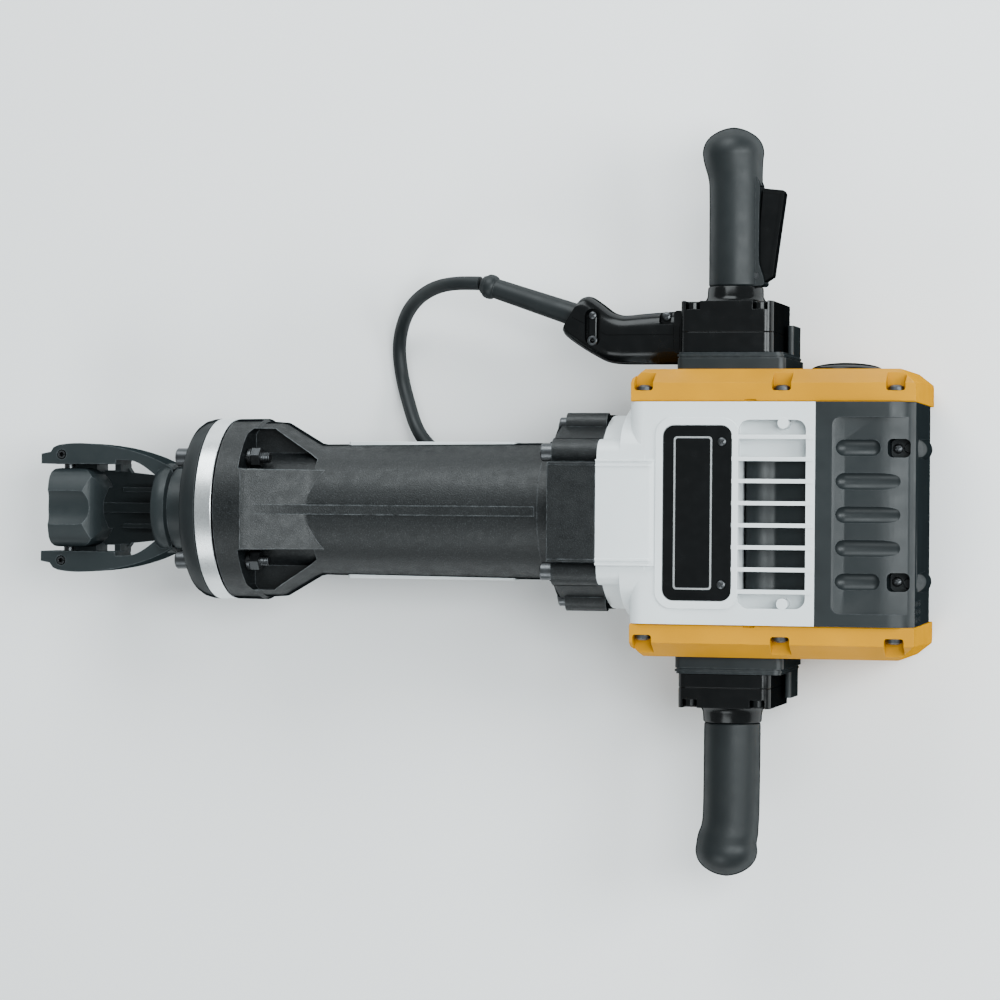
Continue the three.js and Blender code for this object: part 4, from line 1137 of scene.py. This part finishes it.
def handle_mount(side, name, cheek_top):
    """The slide plate, wider at its foot, and the cheek behind the handle box."""
    foot = prism(rounded(MOUNT_X, (-54, 54), 6), "Y", 125.3, 135)
    step = prism(rounded((MOUNT_X[0] + 0.8, MOUNT_X[1] - 2.5), (-53, 53), 6), "Y", 133, 140)
    stripe_outline = rounded((MOUNT_X[0] - 0.4, MOUNT_X[1] - 1.6), (-53.4, 54.4), 6)
    stripe = prism(stripe_outline, "Y", 136.4, 138.2)
    cheek = prism(rounded((BOX_X[1] + 4, 290), (-50, -8), 2), "Y", 134, cheek_top)
    bm = on_side(side, join(foot, step, stripe, cheek))
    node = f"{name}_handle_mount"
    piece(f"{node}_plate", bm, "grey_plastic", nodes=(node,), edge=1.2, steps=4)


def handle_box(side, name, top, seam, grip_radius, reach):
    """The glossy box with its waisted neck, parting seam and screw bosses in corner pockets."""
    shell = prism(rounded(BOX_X, BOX_Z, 8, 8), "Y", 140.3, top)
    hollow = block(inset(BOX_X, 4), (139, top - 9), inset(BOX_Z, 4))
    corners = [(x, z) for x in inset(BOX_X, 11) for z in inset(BOX_Z, 5)]
    pockets = [
        prism(rounded(about(x, 6.5), about(z, 8), 2, 3), "Y", top - 7.5, top + 2)
        for x, z in corners
    ]
    around = rounded(inset(BOX_X, -2), inset(BOX_Z, -2), 8)
    core = rounded(inset(BOX_X, 0.6), inset(BOX_Z, 0.6), 8)
    seam_cut = cut(prism(around, "Y", seam, seam + 0.7), prism(core, "Y", seam - 2, seam + 3))
    shell = cut(shell, hollow, *pockets, seam_cut)
    boss = [(-9, 0), (-9, 4.9), (-1.4, 4.9), (-1.4, 2.4), (-3.4, 2.4), (-3.4, 0)]
    boss = [(top + along, radius) for along, radius in boss]
    bosses = [lathe(boss, "Y", (x, 0, z), 32) for x, z in corners]
    waist = [(-8, 6.5), (0, 6.2), (1.6, 4), (3.4, 2.2), (6, 1.2), (13.4, 0.8), (14.6, 0)]
    neck = [(top + along, grip_radius + extra) for along, extra in waist]
    neck = [(top - 8, 0), *neck, (top + 14.6, 15), (reach - 14, 15), (reach - 14, 0)]
    neck = lathe(neck, "Y", (GRIP_X, 0, 0), 96)
    wire_way = block(about(GRIP_X, 8), (top - 12, top + 1), (-8, 8))
    shell = on_side(side, cut(join(shell, *bosses, neck), wire_way))
    node = f"{name}_handle_box"
    piece(f"{node}_shell", shell, "black_gloss", f"{name}_handle", (node,), edge=1.1, steps=4)


def loft(stations, steps=96):
    """A solid through circles (y, centre x, radius), capped at both ends."""
    bm = bmesh.new()
    rings = [
        [bm.verts.new((centre + x, y, z)) for x, z in circle(radius, steps)]
        for y, centre, radius in stations
    ]
    return capped(bm, rings)


def knob_grip(start, reach, radius, knob, lean):
    """A rubber grip whose rounded knob leans to one side."""
    stations = [(start, GRIP_X, radius - 0.8), (start + 1.2, GRIP_X, radius)]
    body = [(start + 30, 0, radius)]
    knob_line = [
        (-60, 0.1, radius), (-46, 0.3, radius + 0.3), (-37, 0.7, radius + 1.6), (-29, 1, knob - 0.7),
        (-22, 1, knob), (-15, 1, knob - 1.6), (-9, 1, knob - 5.8), (-4.5, 1, knob - 12),
        (-1.5, 1, knob - 19), (0, 1, 1.5),
    ]
    body += [(reach + y, lean * share, size) for y, share, size in knob_line]
    body = [(y, GRIP_X + shift, size) for y, shift, size in body]
    stations += smooth_line([stations[-1]] + body, per_span=4)[1:]
    outside = loft(stations)
    bore = rod(15.3, start - 5, reach - 13.7, "Y", (GRIP_X, 0, 0), 64)
    return cut(outside, bore)


TRIGGER_PIVOT = (259.5, 209)


def switch_grip():
    """The grip with its two cheeks beside the trigger, and the slot between them."""
    grip = knob_grip(200, 341, 23.7, 27.2, -3)
    cheek_plan = smooth_line([
        (250, 200.4), (260, 200.2), (266, 201), (266.4, 206), (264, 214), (262, 222),
        (261.8, 245), (262, 272), (262.6, 284), (261.5, 292), (256, 300), (250, 302),
    ], 4)
    cheeks = cut(prism(cheek_plan, "Z", -13.5, 13.5), rod(15.3, 190, 310, "Y", (GRIP_X, 0, 0), 64))
    slot = block((255.3, 300), (203, 289), (-9.5, 9.5))
    pin_way = rod(2.7, -14, 14, "Z", (*TRIGGER_PIVOT, 0), 24)
    bm = cut(join(grip, cheeks), slot, pin_way)
    nodes = ("switch_handle_grip",)
    piece("switch_grip_rubber", bm, "rubber", "switch_handle", nodes, edge=1.2, steps=4)


def plain_grip():
    bm = mirrored(knob_grip(185, 321, 25, 27.4, -4.5))
    nodes = ("plain_handle_grip",)
    piece("plain_grip_rubber", bm, "rubber", "plain_handle", nodes, edge=1.0, steps=4)


def trigger():
    """A long wedge with a dished flank on each side."""
    outline = [
        (257, 204.6), (267.5, 204.6), (273.6, 208.5), (283.6, 281.5), (282.4, 284.2), (264.8, 286.2),
        (258.8, 214),
    ]
    inset = [(258, 213), (270.2, 209.4), (280.6, 281.2), (262, 283)]
    paddle = cut(
        prism(outline, "Z", -8.8, 8.8), prism(inset, "Z", 7.9, 12), prism(inset, "Z", -12, -7.9),
        rod(2.7, -12, 12, "Z", (*TRIGGER_PIVOT, 0), 24),
    )
    piece("trigger_paddle", paddle, "black_gloss", "trigger", ("trigger",), edge=0.7, steps=4)


ARM_HALF_DEPTH = 21.5
# Pairs of points on the arm's lower and upper edges, from its front end to the handle box.
ARM_STATIONS = [
    ((88.6, 165.2), (102.6, 187.8)), ((85.6, 161.8), (103.2, 190)), ((85.4, 160.4), (104.6, 191.4)),
    ((88.4, 156), (110, 191.8)), ((100, 147.6), (120, 185.4)), ((113, 139.8), (129, 178.6)),
    ((125, 133.8), (138, 175.4)), ((136, 131.9), (146, 175.2)), ((152, 131.5), (158, 176.4)),
    ((176, 131.5), (178, 177.8)), ((193.3, 131.5), (193.3, 178.6)),
]


def arm_skin(stations, depths, steps=64, squareness=3.2):
    """A solid through rounded-rectangle sections, each across a pair of edge points."""
    bm = bmesh.new()
    rings = []
    for (low, high), depth in zip(stations, depths):
        ring = []
        for i in range(steps):
            angle = 2 * pi * i / steps
            across = copysign(abs(cos(angle)) ** (2 / squareness), cos(angle))
            up = copysign(abs(sin(angle)) ** (2 / squareness), sin(angle))
            share = (1 + across) / 2
            x, y = (a + (b - a) * share for a, b in zip(low, high))
            ring.append(bm.verts.new((x, y, depth * up)))
        rings.append(ring)
    return capped(bm, rings)


def cord_arm():
    """The hollow arm: rounded all along, with a clamp in a recess, a seam and a screw well."""
    edge_points = smooth_line([(*low, *high) for low, high in ARM_STATIONS], 4)
    stations = [((a, b), (c, d)) for a, b, c, d in edge_points]
    depths = [ARM_HALF_DEPTH - 3.5 * max(0, 1 - i / 8) ** 2 for i in range(len(stations))]
    skin = arm_skin(stations, depths)
    root = prism(rounded((188, 198.7), (140.6, 178.2), 3), "Z", -20.5, 20.5)
    recess = prism(rounded((107.6, 121.6), (147.5, 180.5), 6.8, 8), "Z", 14.5, 24)
    screw_well = prism(rounded((174.6, 185.4), (166.4, 182), 2.5, 5), "Z", 12.5, 24)
    seam = [(96, 172.4), (128, 156.4), (187.5, 156.6)]
    groove = prism(seam + [(x, y + 0.8) for x, y in reversed(seam)], "Z", 20.4, 24)
    band = block((187.6, 188.4), (125, 185), (-25, 25))
    collar_groove = cut(band, block((187, 189), (132.2, 177.4), (-20.7, 20.7)))
    arm = cut(join(skin, root), recess, screw_well, groove, collar_groove)
    piece(
        "cord_arm_shell", arm, "black_gloss", "switch_handle", ("cord_arm",), edge=0.9, sharp=35, steps=4
    )
    bar = prism(rounded((110.4, 118.4), (151, 178), 3.8, 8), "Z", 14, 19.6)
    piece("cord_clamp_bar", bar, "black_gloss", "switch_handle", edge=1.8, steps=4)
    cross_screw(114.4, 174.5, 19.4, 3.6, "cord_clamp_screw", body="switch_handle")
    ring_profile = [(17, 2.2), (17, 4.6), (20.4, 4.6), (21.2, 3.8), (21.2, 2.2)]
    ring = lathe(ring_profile, "Z", (114.4, 152, 0), 32)
    piece("cord_clamp_ring", ring, "bolt_steel", "switch_handle", edge=0.3)
    cross_screw(180, 173.4, 13.6, 4.2, "cord_arm_screw", body="switch_handle")


handle_mount(1, "switch", 166)
handle_mount(-1, "plain", 163)
handle_box(1, "switch", SWITCH_TOP, 157.5, 23.7, 341)
handle_box(-1, "plain", PLAIN_TOP, 152, 25, 321)
switch_grip()
plain_grip()
trigger()
cord_arm()

# ------ what the frame shows itself

RECORD_SLOTS = {entry["node"]: entry["material_slot"] for entry in frame["record"]["subparts"]}
for node_name, node in frame["nodes"].items():
    material = MATERIALS[RECORD_SLOTS[node_name]]
    if node.material_slots:
        for material_slot in node.material_slots:
            material_slot.material = material
    else:
        node.data.materials.append(material)
